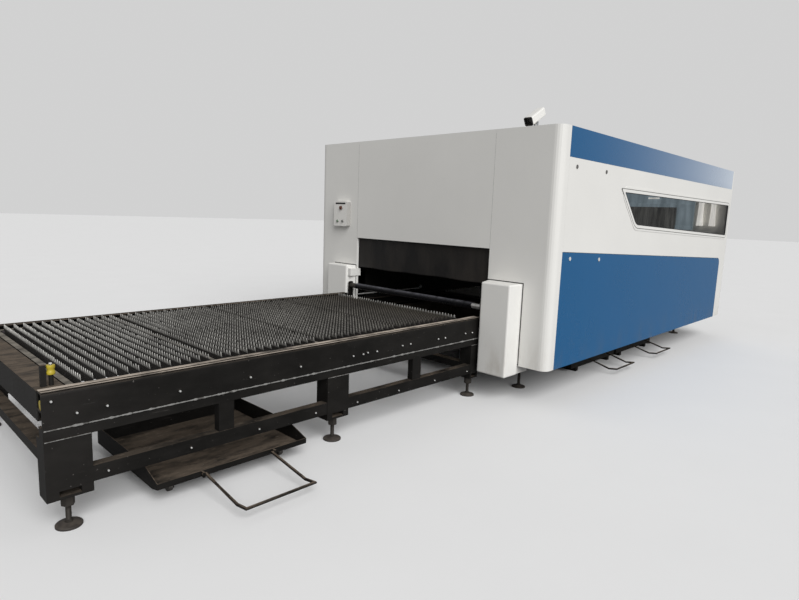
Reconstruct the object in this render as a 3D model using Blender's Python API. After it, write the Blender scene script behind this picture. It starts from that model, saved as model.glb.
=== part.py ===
"""Enclosed fiber laser cutting machine with an exchange table for two slat pallets.

Run with: blender --background --python part.py
Metres, +Z up. +X runs from the exchange table to the far end of the enclosure and -Y is the
side with the window. The origin is at the middle of the footprint, on the floor.
"""
import math

import bmesh
import bpy
from mathutils import Matrix, Vector

# Clearances shared by every piece
TOUCH = 0.0003          # between two pieces that rest on or against each other
SEAM = 0.0008           # between two neighbouring cover panels
RUN = 0.0004            # radial play of a pin in its bore
OVERRUN = 0.02          # how far a cutter passes its work
WELD = 0.004            # how far a welded member enters its neighbour

# Overall layout along X
TABLE_LENGTH = 3.431
TABLE_GAP = 0.141
ENCLOSURE_LENGTH = 4.996
OVERALL_LENGTH = TABLE_LENGTH + TABLE_GAP + ENCLOSURE_LENGTH
TABLE_X = -OVERALL_LENGTH / 2
TABLE_END_X = TABLE_X + TABLE_LENGTH
FACE_X = TABLE_END_X + TABLE_GAP
REAR_X = FACE_X + ENCLOSURE_LENGTH

# Overall layout along Y, from the table's width
TABLE_WIDTH = 1.878
TABLE_HALF = TABLE_WIDTH / 2
OPENING_INSET = 0.042
OPENING_HALF = TABLE_HALF - OPENING_INSET

# Enclosure
ENCLOSURE_WIDTH = 3.084
ENCLOSURE_TOP = 2.371
SKIRT_Z = 0.319
SHEET = 0.030           # depth of a folded cover panel
CORNER_RADIUS = 0.075
FRONT_WRAP = 0.134      # how far the end panels reach round onto the sides
REAR_WRAP = 0.115
HALF_WIDTH = ENCLOSURE_WIDTH / 2
OPENING_TOP = 1.330
BAND_Z = 2.124          # lower edge of the blue band
POCKET = 0.014          # depth of the pocket that a blue panel sits in
REVEAL = 0.005          # shadow gap round a blue panel
ROOF_THICKNESS = 0.025
ROOF_DROP = 0.005
BEAD_WIDTH = 0.060      # pressed stiffening beads of the roof
BEAD_PITCH = 0.600
BEAD_HEIGHT = 0.004

# Blue lower panel of the side
PANEL_NEAR_TOP = 1.338
PANEL_FAR_TOP = 1.154
PANEL_END = 0.197       # white strip between the panel and the rear corner
PANEL_CORNER = 0.080
CAP_RADIUS = 0.0175     # round caps of the panel locks
CAP_PROUD = 0.005
CAP_PLACES = (0.270, 0.833)
CAP_Z = 2.053
CAP_DROP = 0.053        # below the sloping top edge of the blue panel
CAP_SIDES = 8

# Window of the side, measured from the end face
WINDOW_LEFT = 1.211
WINDOW_LOW_LEFT = 1.599
WINDOW_RIGHT = 4.828
WINDOW_TOP = 1.921
WINDOW_LOW_LEFT_Z = 1.561
WINDOW_LOW_RIGHT_Z = 1.453
WINDOW_CORNER = 0.045
WINDOW_NOSE = 0.120     # radius of the slanted lower left corner
TRIM_WIDTH = 0.030      # raised trim round the window
TRIM_PROUD = 0.004
GLASS = 0.006
GLASS_RECESS = 0.004
GLASS_PLAY = 0.0006

# Column covers beside the opening
COVER_SHAPES = {        # depth, how much narrower it is at its front, top
    "near": (0.203, 0.078, 1.048),
    "far": (0.113, 0.043, 1.022),
}
COVER_WIDTH = 0.369
HEAD_START = 0.019      # from the far cover's front to its sensor head
HEAD_LENGTH = 0.150
HEAD_PROUD = 0.010
HEAD_LOW = 0.906
HEAD_HIGH = 0.988
COVER_BOTTOM = 0.240
COVER_EDGE = 0.012
COVER_WALL = 0.014
COVER_TAIL_INSET = 0.100

# Curtain in the opening
CURTAIN_BOTTOM = 0.998
CURTAIN_LAP = 0.030
CURTAIN_THICKNESS = 0.004
CURTAIN_WAVE = 0.007
CURTAIN_WAVES = 6
CURTAIN_STEPS = 4

# Control box on the end face
BOX_Y = 1.129
BOX_Z = 1.590
BOX_WIDTH = 0.224
BOX_HEIGHT = 0.277
BOX_DEPTH = 0.055
BOX_CORNER = 0.012
STOP_Z = 1.654
STOP_OFFSET = -0.014
STOP_RADIUS = 0.021
STOP_STEM = 0.011
STOP_TRAVEL = 0.006
BUTTON_Z = 1.507
BUTTON_OFFSET = 0.043
BUTTON_RADIUS = 0.013
BUTTON_STEM = 0.009
BUTTON_TRAVEL = 0.003
STEM_LENGTH = 0.026
STEM_HOLE = 0.036
BUTTON_CROWN_SHARE = 0.8
CAP_DEPTH = 0.014

# Camera on the roof
CAMERA_X = 0.255        # tilt axis behind the end face
CAMERA_Y = -1.130
CAMERA_LIFT = 0.075     # tilt axis above the roof
CAMERA_RISE = 0.055     # middle of the housing above the tilt axis
CAMERA_LENGTH = 0.225
CAMERA_WIDTH = 0.078
CAMERA_HEIGHT = 0.074
CAMERA_CORNER = 0.012
CAMERA_TILT = math.radians(30)
HOOD_DEPTH = 0.030      # recess of the front window under the hood
HOOD_WALL = 0.006
EAR = 0.006
EAR_WIDTH = 0.022
EAR_RISE = 0.011
CAMERA_LUG = 0.022
BRACKET_BASE = 0.090
TILT_PIN = 0.006

# Exchange table frame
TABLE_TOP = 0.720
PLATE_HEIGHT = 0.187
PLATE = 0.010
FLANGE_WIDTH = 0.054
FLANGE = 0.008
FLANGE_RADIUS = 0.020
LEDGE_REACH = 0.071     # from the outer face to the tip of a pallet rail
LEDGE = 0.008
UPPER_RAIL_Z = 0.630
LOWER_RAIL_Z = TABLE_TOP - PLATE_HEIGHT + LEDGE
TUBE_HEIGHT = 0.056
TUBE_DEPTH = 0.060
TUBE_INSET = 0.003
LOWER_BEAM_TOP = 0.302
LOWER_BEAM_HEIGHT = 0.082
LEG_DEPTH = 0.120
LEG_BOTTOM = 0.172
LEG_WIDTHS = (0.211, 0.191, 0.110)
LEG_STARTS = (0.0, 1.703, 3.321)
POST_WIDTH = 0.098
POST_CENTRES = (0.947, 2.616)
SLOT_HEIGHT = 0.030
SLOT_WIDTH = 0.100
SLOT_Z = 0.186
SLOT_LEG_SHARE = 0.62   # widest slot as a share of its leg

# Levelling feet
FOOT_PAD = 0.062
FOOT_PAD_HEIGHT = 0.018
FOOT_STEM = 0.012
FOOT_NUT = 0.020
FOOT_NUT_HEIGHT = 0.022
FOOT_SIDES = 10

# Cross members of the table
END_BEAM_WIDTH = 0.125
END_BEAM_TOP = 0.716
END_BEAM_HEIGHT = 0.150
END_BEAM_WALL = 0.008
CROSS_WIDTH = 0.080
CROSS_HEIGHT = 0.060
CROSS_WALL = 0.006

# Guides and buffers at the table's outer corners
GUIDE_POST = 0.024
GUIDE_POST_TOP = 0.822
GUIDE_START = 0.033     # from the table's outer end to the post
GUIDE_INSET = 0.119     # from the table's side to the outer face of the post
GUIDE_Y = TABLE_HALF - GUIDE_INSET
ROLLER_RADIUS = 0.020
ROLLER_HEIGHT = 0.048
ROLLER_BORE = 0.006
ROLLER_Z = 0.795
ROLLER_GAP = 0.003      # between a roller and its post
ROLLER_SHOULDER = 0.011
ROLLER_X = TABLE_X + GUIDE_START + GUIDE_POST + ROLLER_GAP + ROLLER_RADIUS
ROLLER_Y = GUIDE_Y - GUIDE_POST / 2
BUFFER_RADIUS = 0.024
BUFFER_LENGTH = 0.044
BUFFER_START = 0.004
BUFFER_NECK_SHARE = 0.25

# Scrap tray under the table
TRAY_X = 0.500
TRAY_LENGTH = 0.980
TRAY_FRONT = 1.000
TRAY_DEPTH = 0.900
TRAY_BOTTOM = 0.078
TRAY_RIM = 0.190
TRAY_LIP_TOP = 0.128
TRAY_LIP_BOTTOM = 0.094
TRAY_FLARE = 0.070
TRAY_SLOPE = 0.200
TRAY_WALL = 0.004
TRAY_TRAVEL = 0.700
TRAY_WHEEL_RADIUS = 0.034
TRAY_WHEEL_WIDTH = 0.024
TRAY_WHEEL_INSET = 0.140
TRAY_AXLE = 0.008
FLOOR_PLAY = 0.0006

# Scrap drawers under the machine
DRAWER_X = 1.253        # first drawer from the end face
DRAWER_LENGTH = 1.060
DRAWER_GAP = 0.060
DRAWER_PITCH = DRAWER_LENGTH + DRAWER_GAP
DRAWER_FRONT = 1.150
DRAWER_DEPTH = 2.000
DRAWER_BOTTOM = 0.046
DRAWER_TOP = 0.250
DRAWER_WALL = 0.005
DRAWER_HINGE_Z = 0.130
DRAWER_TRAVEL = 1.200
DRAWERS = 2
SKID_WIDTH = 0.050
SKID_INSET = 0.120

# Pull handles
HANDLE_ROD = 0.009
HANDLE_HALF = 0.220     # from the handle's middle to an arm
HANDLE_SIDES = 8
HINGE_OUT = 0.016       # hinge axis in front of the tray's wall
LUG = 0.012
LUG_HEIGHT = 0.030
LUG_NOSE = 0.013
PIN_PROUD = 0.004
TRAY_HANDLE_REACH = 0.430
TRAY_HANDLE_ELBOW = 0.340
DRAWER_HANDLE_REACH = 0.345
DRAWER_HANDLE_ELBOW = 0.260
HANDLE_END_Z = 0.072
HANDLE_ELBOW_Z = 0.060

# Pallets
PALLET_PLAY = 0.003     # between a pallet's side and the tip of a rail
PALLET_START = 0.145    # from the outer end of the table
PALLET_LENGTH = 3.160
PALLET_HALF = TABLE_HALF - LEDGE_REACH - PALLET_PLAY
PALLET_TUBE = 0.050
PALLET_TUBE_BOTTOM = 0.640
PALLET_TUBE_TOP = 0.700
PALLET_CROSS_BOTTOM = 0.664
PALLET_CROSS_TOP = 0.698
PALLET_END_WIDTH = 0.040
PALLET_DIVIDER = 0.030
PALLET_SECTIONS = 4
PALLET_TRAVEL = 4.850
BAR = 0.010
BAR_INSET = 0.013       # from a side tube to the middle of a rack's bar
BAR_Y = PALLET_HALF - PALLET_TUBE - BAR_INSET
BAR_BOTTOM = 0.666
BAR_TOP = 0.696
SLAT_PITCH = 0.057
SLAT = 0.003
SLAT_HALF = BAR_Y
SLAT_BOTTOM = 0.667
SLAT_VALLEY = 0.716
SLAT_TIP = 0.745
TEETH = 6
HIDDEN_PITCH = 0.190    # the pallet inside the machine has fewer, plain slats
WHEEL_RADIUS = 0.028
WHEEL_WIDTH = 0.018
WHEEL_INSET = 0.350     # from the ends of the pallet
WHEEL_PIN = 0.008
WHEEL_SIDES = 16

# Drive shaft between the column covers
SHAFT_X = 0.072         # in front of the end face
SHAFT_Z = 0.802
SHAFT_RADIUS = 0.031
COUPLING_RADIUS = 0.027
COUPLING_LENGTH = 0.100
JOURNAL_RADIUS = 0.015
BEARING_INSET = 0.0415
BEARING_INNER = TABLE_HALF - BEARING_INSET
BEARING_THICKNESS = 0.0115
BEARING_HALF_LENGTH = 0.031
BEARING_BOTTOM = 0.536
BEARING_TOP = 0.846
BEARING_CORNER_SHARE = 0.6
SHAFT_PROUD = 0.0045
SHAFT_HALF = BEARING_INNER + BEARING_THICKNESS + SHAFT_PROUD

# Machine bed
BED_START = 0.178       # behind the end face
BED_END = 0.140         # before the rear face
BED_INSET = 0.009
BED_INNER = TABLE_HALF - BED_INSET
BED_WIDTH = 0.320
BED_OUTER = BED_INNER + BED_WIDTH
BED_BOTTOM = 0.300
BED_TOP = 0.950
BED_WALL = 0.016
RAIL_Y = (BED_INNER + BED_OUTER) / 2
RAIL_WIDTH = 0.045
RAIL_HEIGHT = 0.030
BRIDGE_PLAY = 0.002
BRIDGE_OUTER = BEARING_INNER - BRIDGE_PLAY
BRIDGE_DROP = 0.001
OUTRIGGER_WIDTH = 0.150
OUTRIGGER_HEIGHT = 0.140
OUTRIGGER_INSET = 0.060
BED_FOOT_INSET = 0.216
BED_FOOT_MARGIN = 0.120  # from a drawer's end to the middle of the next foot
BED_FOOT_OFFSET = 0.120
BED_FOOT_Y = BED_INNER + BED_FOOT_OFFSET

# Gantry, carriage and head
GANTRY_X = 0.700        # middle of the parked beam before the rear face
GANTRY_WIDTH = 0.260
GANTRY_BOTTOM = 1.120
GANTRY_HEIGHT = 0.280
GANTRY_WALL = 0.010
GANTRY_CHAMFER = 0.060
GANTRY_OVERHANG = 0.120
GANTRY_HALF = RAIL_Y + GANTRY_OVERHANG
GANTRY_FOOT = 0.200
GANTRY_TRAVEL = 3.250
CARRIAGE_WIDTH = 0.320
CARRIAGE_DEPTH = 0.040
CARRIAGE_RISE = 0.040
CARRIAGE_TRAVEL = 0.760
SLIDE_WIDTH = 0.180
SLIDE_DEPTH = 0.036
SLIDE_BOTTOM = 1.040
SLIDE_TOP = 1.460
HEAD_TRAVEL = 0.100
HEAD_RADIUS = 0.045
HEAD_BODY_BOTTOM = 1.000
HEAD_BODY_TOP = 1.340
NOZZLE_Z = 0.862
NOZZLE_RADIUS = 0.005
HEAD_NECK_SHARE = 0.65
HEAD_SIDES = 16

# Colours and finishes: base colour, roughness, metallic
FINISHES = {
    "white": ((0.80, 0.80, 0.77), 0.40, 0.0),
    "blue": ((0.022, 0.114, 0.290), 0.35, 0.0),
    "black": ((0.020, 0.018, 0.017), 0.55, 0.0),
    "steel": ((0.42, 0.40, 0.37), 0.38, 0.9),
    "dark_steel": ((0.10, 0.09, 0.08), 0.50, 0.7),
    "grey": ((0.30, 0.31, 0.32), 0.45, 0.0),
    "yellow": ((0.62, 0.47, 0.05), 0.45, 0.0),
    "red": ((0.45, 0.03, 0.02), 0.35, 0.0),
    "green": ((0.03, 0.30, 0.08), 0.35, 0.0),
    "glass": ((0.02, 0.025, 0.03), 0.08, 0.0),
    "curtain": ((0.012, 0.012, 0.012), 0.80, 0.0),
}
SIDES = (("near", -1), ("far", 1))


def clear_scene():
    """Removes what a new scene starts with."""
    for item in list(bpy.data.objects):
        bpy.data.objects.remove(item, do_unlink=True)


def finish(name, key):
    """A material of the piece's own with one of the finishes."""
    colour, roughness, metallic = FINISHES[key]
    made = bpy.data.materials.new(name)
    made.use_nodes = True
    shader = made.node_tree.nodes["Principled BSDF"]
    shader.inputs["Base Color"].default_value = (*colour, 1)
    shader.inputs["Roughness"].default_value = roughness
    shader.inputs["Metallic"].default_value = metallic
    made.diffuse_color = (*colour, 1)
    return made


def lift(axis, pair, along):
    """A point from its two coordinates in the plane across an axis, and its place along it."""
    first, second = pair
    if axis == "X":
        return Vector((along, first, second))
    if axis == "Y":
        return Vector((first, along, second))
    return Vector((first, second, along))


def rounded(points, radii, steps=4):
    """An outline with its corners replaced by arcs; a radius of zero keeps a corner sharp."""
    outline = []
    count = len(points)
    for index, point in enumerate(points):
        radius = radii[index] if index < len(radii) else 0
        here = Vector(point)
        if not radius:
            outline.append(tuple(here))
            continue
        before = (Vector(points[index - 1]) - here).normalized()
        after = (Vector(points[(index + 1) % count]) - here).normalized()
        half = before.angle(after) / 2
        setback = radius / math.tan(half)
        centre = here + (before + after).normalized() * (radius / math.sin(half))
        start = here + before * setback - centre
        end = here + after * setback - centre
        turn = start.angle_signed(end)
        for step in range(steps + 1):
            angle = -turn * step / steps
            spoke = Matrix.Rotation(angle, 2) @ start
            outline.append(tuple(centre + spoke))
    return outline


def inset(points, distance):
    """The outline moved inwards by a distance, for an outline that runs anticlockwise."""
    moved = []
    count = len(points)
    for index, point in enumerate(points):
        here = Vector(point)
        before = (here - Vector(points[index - 1])).normalized()
        after = (Vector(points[(index + 1) % count]) - here).normalized()
        normal_before = Vector((-before.y, before.x))
        normal_after = Vector((-after.y, after.x))
        bisector = (normal_before + normal_after).normalized()
        moved.append(tuple(here + bisector * (distance / bisector.dot(normal_before))))
    return moved


class Form:
    """Closed shapes that don't touch each other, gathered in one mesh."""

    def __init__(self):
        self.mesh = bmesh.new()

    def prism(self, axis, outline, low, high):
        """An outline extruded along an axis."""
        corners = [self.mesh.verts.new(lift(axis, pair, low)) for pair in outline]
        base = self.mesh.faces.new(corners)
        grown = bmesh.ops.extrude_face_region(self.mesh, geom=[base])
        tops = [item for item in grown["geom"] if isinstance(item, bmesh.types.BMVert)]
        bmesh.ops.translate(self.mesh, vec=lift(axis, (0, 0), high - low), verts=tops)
        return self

    def block(self, low, high):
        """A box between two corners."""
        outline = [(low[0], low[1]), (high[0], low[1]), (high[0], high[1]), (low[0], high[1])]
        return self.prism("Z", outline, low[2], high[2])

    def turned(self, axis, centre, profile, sides):
        """A profile of (distance along the axis, radius) pairs turned round the axis."""
        rings = []
        for along, radius in profile:
            ring = []
            for side in range(sides if radius else 1):
                angle = math.tau * side / sides
                spot = (radius * math.cos(angle), radius * math.sin(angle))
                ring.append(self.mesh.verts.new(Vector(centre) + lift(axis, spot, along)))
            rings.append(ring)
        closed = bool(profile[0][1])
        pairs = list(zip(rings, rings[1:]))
        if closed:
            pairs.append((rings[-1], rings[0]))
        for lower, upper in pairs:
            self.band(lower, upper, sides)
        return self

    def band(self, lower, upper, sides):
        """The faces between two rings, either of which may be a single point."""
        for side in range(sides):
            following = (side + 1) % sides
            if len(lower) == 1:
                self.mesh.faces.new((lower[0], upper[side], upper[following]))
            elif len(upper) == 1:
                self.mesh.faces.new((lower[side], upper[0], lower[following]))
            else:
                self.mesh.faces.new((lower[side], upper[side], upper[following], lower[following]))

    def rod(self, path, radius, sides):
        """A round bar swept along a path of points, mitred at its bends."""
        points = [Vector(point) for point in path]
        ends = [(points[1] - points[0]).normalized(), (points[-1] - points[-2]).normalized()]
        across = ends[0].orthogonal().normalized()
        rings = []
        for index, point in enumerate(points):
            before = (point - points[index - 1]).normalized() if index else ends[0]
            after = (points[index + 1] - point).normalized() if index + 1 < len(points) else ends[1]
            across = (across - before * across.dot(before)).normalized()
            other = before.cross(across)
            plane = (before + after).normalized()
            ring = []
            for side in range(sides):
                angle = math.tau * side / sides
                spoke = (across * math.cos(angle) + other * math.sin(angle)) * radius
                spoke -= before * (spoke.dot(plane) / before.dot(plane))
                ring.append(self.mesh.verts.new(point + spoke))
            rings.append(ring)
        for lower, upper in zip(rings, rings[1:]):
            self.band(lower, upper, sides)
        self.mesh.faces.new(rings[0])
        self.mesh.faces.new(list(reversed(rings[-1])))
        return self

    def make(self, name, key, smooth=False):
        """The object with its own material, its faces pointing outwards."""
        bmesh.ops.recalc_face_normals(self.mesh, faces=self.mesh.faces)
        mesh = bpy.data.meshes.new(name)
        self.mesh.to_mesh(mesh)
        self.mesh.free()
        made = bpy.data.objects.new(name, mesh)
        bpy.context.scene.collection.objects.link(made)
        mesh.materials.append(finish(name, key))
        if smooth:
            mesh.shade_smooth()
            mesh.set_sharp_from_angle(angle=math.radians(30))
        return made


def combine(target, form, operation, label):
    """A hidden tool shape and the Boolean modifier that uses it on the target."""
    bmesh.ops.recalc_face_normals(form.mesh, faces=form.mesh.faces)
    mesh = bpy.data.meshes.new(f"{target.name}_{label}")
    form.mesh.to_mesh(mesh)
    form.mesh.free()
    tool = bpy.data.objects.new(mesh.name, mesh)
    bpy.context.scene.collection.objects.link(tool)
    tool.hide_render = True
    tool.display_type = "WIRE"
    modifier = target.modifiers.new(label, "BOOLEAN")
    modifier.operation = operation
    modifier.solver = "EXACT"
    modifier.object = tool
    return target


def fuse(target, form, label):
    """Welds closed shapes to the target."""
    return combine(target, form, "UNION", label)


def cut(target, form, label):
    """Takes closed shapes out of the target."""
    return combine(target, form, "DIFFERENCE", label)


def pivot(item, point):
    """Puts an object's origin on its joint's axis and leaves its shape where it is."""
    place = Vector(point)
    item.data.transform(Matrix.Translation(-place))
    item.location = place
    return item


def ring_profile(low, high, inner, outer, edge=0):
    """The profile of a ring with a bore, its outer edges broken by a chamfer."""
    return [(low, inner), (low, outer - edge), (low + edge, outer), (high - edge, outer),
            (high, outer - edge), (high, inner)]


def foot_profile(top):
    """A levelling foot from its pad on the floor up into what it carries."""
    shoulder = FOOT_PAD_HEIGHT / 2
    return [(0, 0), (0, FOOT_PAD), (shoulder, FOOT_PAD), (FOOT_PAD_HEIGHT, FOOT_STEM),
            (top - FOOT_NUT_HEIGHT, FOOT_STEM), (top - FOOT_NUT_HEIGHT, FOOT_NUT), (top + WELD, FOOT_NUT),
            (top + WELD, 0)]


def table_side_rails():
    """The side plates with their rounded top flange and the two pallet rails."""
    web = TABLE_HALF - PLATE
    tip = TABLE_HALF - LEDGE_REACH
    bottom = TABLE_TOP - PLATE_HEIGHT
    flange = TABLE_HALF - FLANGE_WIDTH
    points = [(TABLE_HALF, bottom), (TABLE_HALF, TABLE_TOP), (flange, TABLE_TOP),
              (flange, TABLE_TOP - FLANGE), (web, TABLE_TOP - FLANGE), (web, UPPER_RAIL_Z),
              (tip, UPPER_RAIL_Z), (tip, UPPER_RAIL_Z - LEDGE), (web, UPPER_RAIL_Z - LEDGE),
              (web, LOWER_RAIL_Z), (tip, LOWER_RAIL_Z), (tip, bottom)]
    outline = rounded(points, [0, FLANGE_RADIUS])
    for side, sign in SIDES:
        shape = Form().prism("X", [(sign * y, z) for y, z in outline], TABLE_X, TABLE_END_X)
        rail = shape.make(f"table_side_rail_{side}", "black")
        fuse(rail, shaft_bearing(sign), "bearing")
        cut(rail, bearing_bore(sign), "bore")


def shaft_bearing(sign):
    """The upright plate at the end of a side rail that carries the drive shaft."""
    centre = FACE_X - SHAFT_X
    foot = TABLE_END_X - PLATE
    left = centre - BEARING_HALF_LENGTH
    right = centre + BEARING_HALF_LENGTH
    points = [(foot, BEARING_BOTTOM), (right, BEARING_BOTTOM), (right, BEARING_TOP), (left, BEARING_TOP),
              (left, TABLE_TOP - PLATE), (foot, TABLE_TOP - PLATE)]
    radius = BEARING_HALF_LENGTH * BEARING_CORNER_SHARE
    outline = rounded(points, [0, 0, radius, radius])
    low, high = sorted((sign * BEARING_INNER, sign * (BEARING_INNER + BEARING_THICKNESS)))
    return Form().prism("Y", outline, low, high)


def bearing_bore(sign):
    """The bore of a shaft bearing."""
    centre = (FACE_X - SHAFT_X, sign * TABLE_HALF, SHAFT_Z)
    reach = LEDGE_REACH
    profile = [(-reach, 0), (-reach, JOURNAL_RADIUS + RUN), (reach, JOURNAL_RADIUS + RUN), (reach, 0)]
    return Form().turned("Y", centre, profile, WHEEL_SIDES)


def table_side_frames():
    """Legs, posts, lower beam and sub-beam of each side, welded, with their levelling feet."""
    face = TABLE_HALF
    tube_top = TABLE_TOP - PLATE_HEIGHT - TOUCH
    tube_bottom = tube_top - TUBE_HEIGHT
    outer = face - TUBE_INSET
    inner = outer - TUBE_DEPTH
    for side, sign in SIDES:
        legs = Form()
        for start, width in zip(LEG_STARTS, LEG_WIDTHS):
            low, high = sorted((sign * (face - LEG_DEPTH), sign * face))
            left = TABLE_X + start
            legs.block((left, low, LEG_BOTTOM), (left + width, high, tube_bottom + WELD))
        frame = legs.make(f"table_side_frame_{side}", "black")
        beams = Form()
        low, high = sorted((sign * inner, sign * outer))
        last = TABLE_X + LEG_STARTS[-1] + LEG_WIDTHS[-1]
        beams.block((TABLE_X + WELD, low, LOWER_BEAM_TOP - LOWER_BEAM_HEIGHT),
                    (last - WELD, high, LOWER_BEAM_TOP))
        beams.block((TABLE_X, low, tube_bottom), (last, high, tube_top))
        fuse(frame, beams, "beams")
        posts = Form()
        for centre in POST_CENTRES:
            left = TABLE_X + centre - POST_WIDTH / 2
            low, high = sorted((sign * (inner + WELD), sign * (outer - WELD)))
            posts.block((left, low, LOWER_BEAM_TOP - WELD), (left + POST_WIDTH, high, tube_bottom + WELD))
        fuse(frame, posts, "posts")
        slots = Form()
        feet = Form()
        for start, width in zip(LEG_STARTS, LEG_WIDTHS):
            centre = TABLE_X + start + width / 2
            half = min(SLOT_WIDTH, width * SLOT_LEG_SHARE) / 2
            low, high = sorted((sign * (face - LEG_DEPTH - OVERRUN), sign * (face + OVERRUN)))
            slots.block((centre - half, low, SLOT_Z), (centre + half, high, SLOT_Z + SLOT_HEIGHT))
            foot_y = sign * (face - LEG_DEPTH / 2)
            feet.turned("Z", (centre, foot_y, 0), foot_profile(LEG_BOTTOM), FOOT_SIDES)
        cut(frame, slots, "slots")
        fuse(frame, feet, "feet")


def table_cross_members():
    """The outer end beam with its guide posts and roller pins, and the ties between the side frames."""
    reach = TABLE_HALF - LEDGE_REACH - TOUCH
    bottom = END_BEAM_TOP - END_BEAM_HEIGHT
    beam = Form().block((TABLE_X, -reach, bottom), (TABLE_X + END_BEAM_WIDTH, reach, END_BEAM_TOP))
    beam = beam.make("table_outer_end_beam", "black")
    wall = END_BEAM_WALL
    hollow = Form().block((TABLE_X + wall, -reach - OVERRUN, bottom + wall),
                          (TABLE_X + END_BEAM_WIDTH - wall, reach + OVERRUN, END_BEAM_TOP - wall))
    cut(beam, hollow, "hollow")
    posts = Form()
    pins = Form()
    start = TABLE_X + GUIDE_START
    seat = ROLLER_Z - ROLLER_HEIGHT / 2 - TOUCH
    tip = ROLLER_Z + ROLLER_HEIGHT / 2 + WELD
    for side, sign in SIDES:
        low, high = sorted((sign * (GUIDE_Y - GUIDE_POST), sign * GUIDE_Y))
        posts.block((start, low, END_BEAM_TOP - WELD), (start + GUIDE_POST, high, GUIDE_POST_TOP))
        profile = [(END_BEAM_TOP - WELD, 0), (END_BEAM_TOP - WELD, ROLLER_SHOULDER),
                   (seat, ROLLER_SHOULDER), (seat, ROLLER_BORE), (tip, ROLLER_BORE), (tip, 0)]
        pins.turned("Z", (ROLLER_X, sign * ROLLER_Y, 0), profile, WHEEL_SIDES)
    fuse(beam, posts, "posts")
    fuse(beam, pins, "pins")

    leg_inner = TABLE_HALF - LEG_DEPTH - TOUCH
    lower = LOWER_BEAM_TOP - CROSS_HEIGHT
    upper = TABLE_TOP - PLATE_HEIGHT - TOUCH - CROSS_HEIGHT
    ties = (("table_lower_tie_outer", 0, lower), ("table_lower_tie_inner", 2, lower),
            ("table_upper_tie_middle", 1, upper))
    for name, leg, bottom in ties:
        centre = TABLE_X + LEG_STARTS[leg] + LEG_WIDTHS[leg] / 2
        half = CROSS_WIDTH / 2
        top = bottom + CROSS_HEIGHT
        tie = Form().block((centre - half, -leg_inner, bottom), (centre + half, leg_inner, top))
        tie = tie.make(name, "black")
        bore = Form().block((centre - half + CROSS_WALL, -leg_inner - OVERRUN, bottom + CROSS_WALL),
                            (centre + half - CROSS_WALL, leg_inner + OVERRUN, top - CROSS_WALL))
        cut(tie, bore, "hollow")


def table_guides():
    """Upright guide rollers beside the corner posts, and the buffers that stop a pallet."""
    for side, sign in SIDES:
        centre = (ROLLER_X, sign * ROLLER_Y, ROLLER_Z)
        half = ROLLER_HEIGHT / 2
        profile = ring_profile(-half, half, ROLLER_BORE + RUN, ROLLER_RADIUS, ROLLER_BORE / 4)
        shape = Form().turned("Z", centre, profile, WHEEL_SIDES)
        pivot(shape.make(f"guide_roller_{side}", "yellow", True), centre)
        seat = (TABLE_X + BUFFER_START, sign * (TABLE_HALF - PLATE - TOUCH - BUFFER_RADIUS),
                UPPER_RAIL_Z + TOUCH + BUFFER_RADIUS)
        neck = BUFFER_RADIUS * BUFFER_NECK_SHARE
        profile = [(0, 0), (0, BUFFER_RADIUS), (BUFFER_LENGTH - neck, BUFFER_RADIUS),
                   (BUFFER_LENGTH, BUFFER_RADIUS - neck), (BUFFER_LENGTH, 0)]
        shape = Form().turned("X", seat, profile, WHEEL_SIDES)
        shape.make(f"pallet_buffer_{side}", "yellow", True)


def bevel(item, width, segments):
    """Rounds the edges of an object."""
    modifier = item.modifiers.new("edges", "BEVEL")
    modifier.width = width
    modifier.segments = segments
    modifier.limit_method = "ANGLE"
    return item


def handle(name, middle, seat, reach, elbow):
    """A U-shaped pull handle hinged in two lugs; seat is the (Y, Z) of its hinge axis."""
    y, z = seat
    stub = HANDLE_HALF + HANDLE_ROD + TOUCH + LUG + PIN_PROUD
    arm = [(y, z), (y - elbow, HANDLE_ELBOW_Z), (y - reach, HANDLE_END_Z)]
    path = [(middle - stub, y, z)]
    path += [(middle - HANDLE_HALF, *spot) for spot in arm]
    path += [(middle + HANDLE_HALF, *spot) for spot in reversed(arm)]
    path += [(middle + stub, y, z)]
    shape = Form().rod(path, HANDLE_ROD, HANDLE_SIDES)
    return pivot(shape.make(name, "black", True), (middle, y, z))


def add_lugs(pan, middle, seat, wall):
    """Two bored lugs on a pan's front wall for its handle."""
    y, z = seat
    lugs = Form()
    bores = Form()
    inner = HANDLE_HALF + HANDLE_ROD + TOUCH
    front = y - LUG_NOSE
    back = y + HINGE_OUT + wall / 2
    for sign in (-1, 1):
        low, high = sorted((middle + sign * inner, middle + sign * (inner + LUG)))
        lugs.block((low, front, z - LUG_HEIGHT / 2), (high, back, z + LUG_HEIGHT / 2))
        radius = HANDLE_ROD + RUN
        start, end = low - PIN_PROUD, high + PIN_PROUD
        profile = [(start, 0), (start, radius), (end, radius), (end, 0)]
        bores.turned("X", (0, y, z), profile, HANDLE_SIDES * 2)
    fuse(pan, lugs, "lugs")
    cut(pan, bores, "bores")


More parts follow.
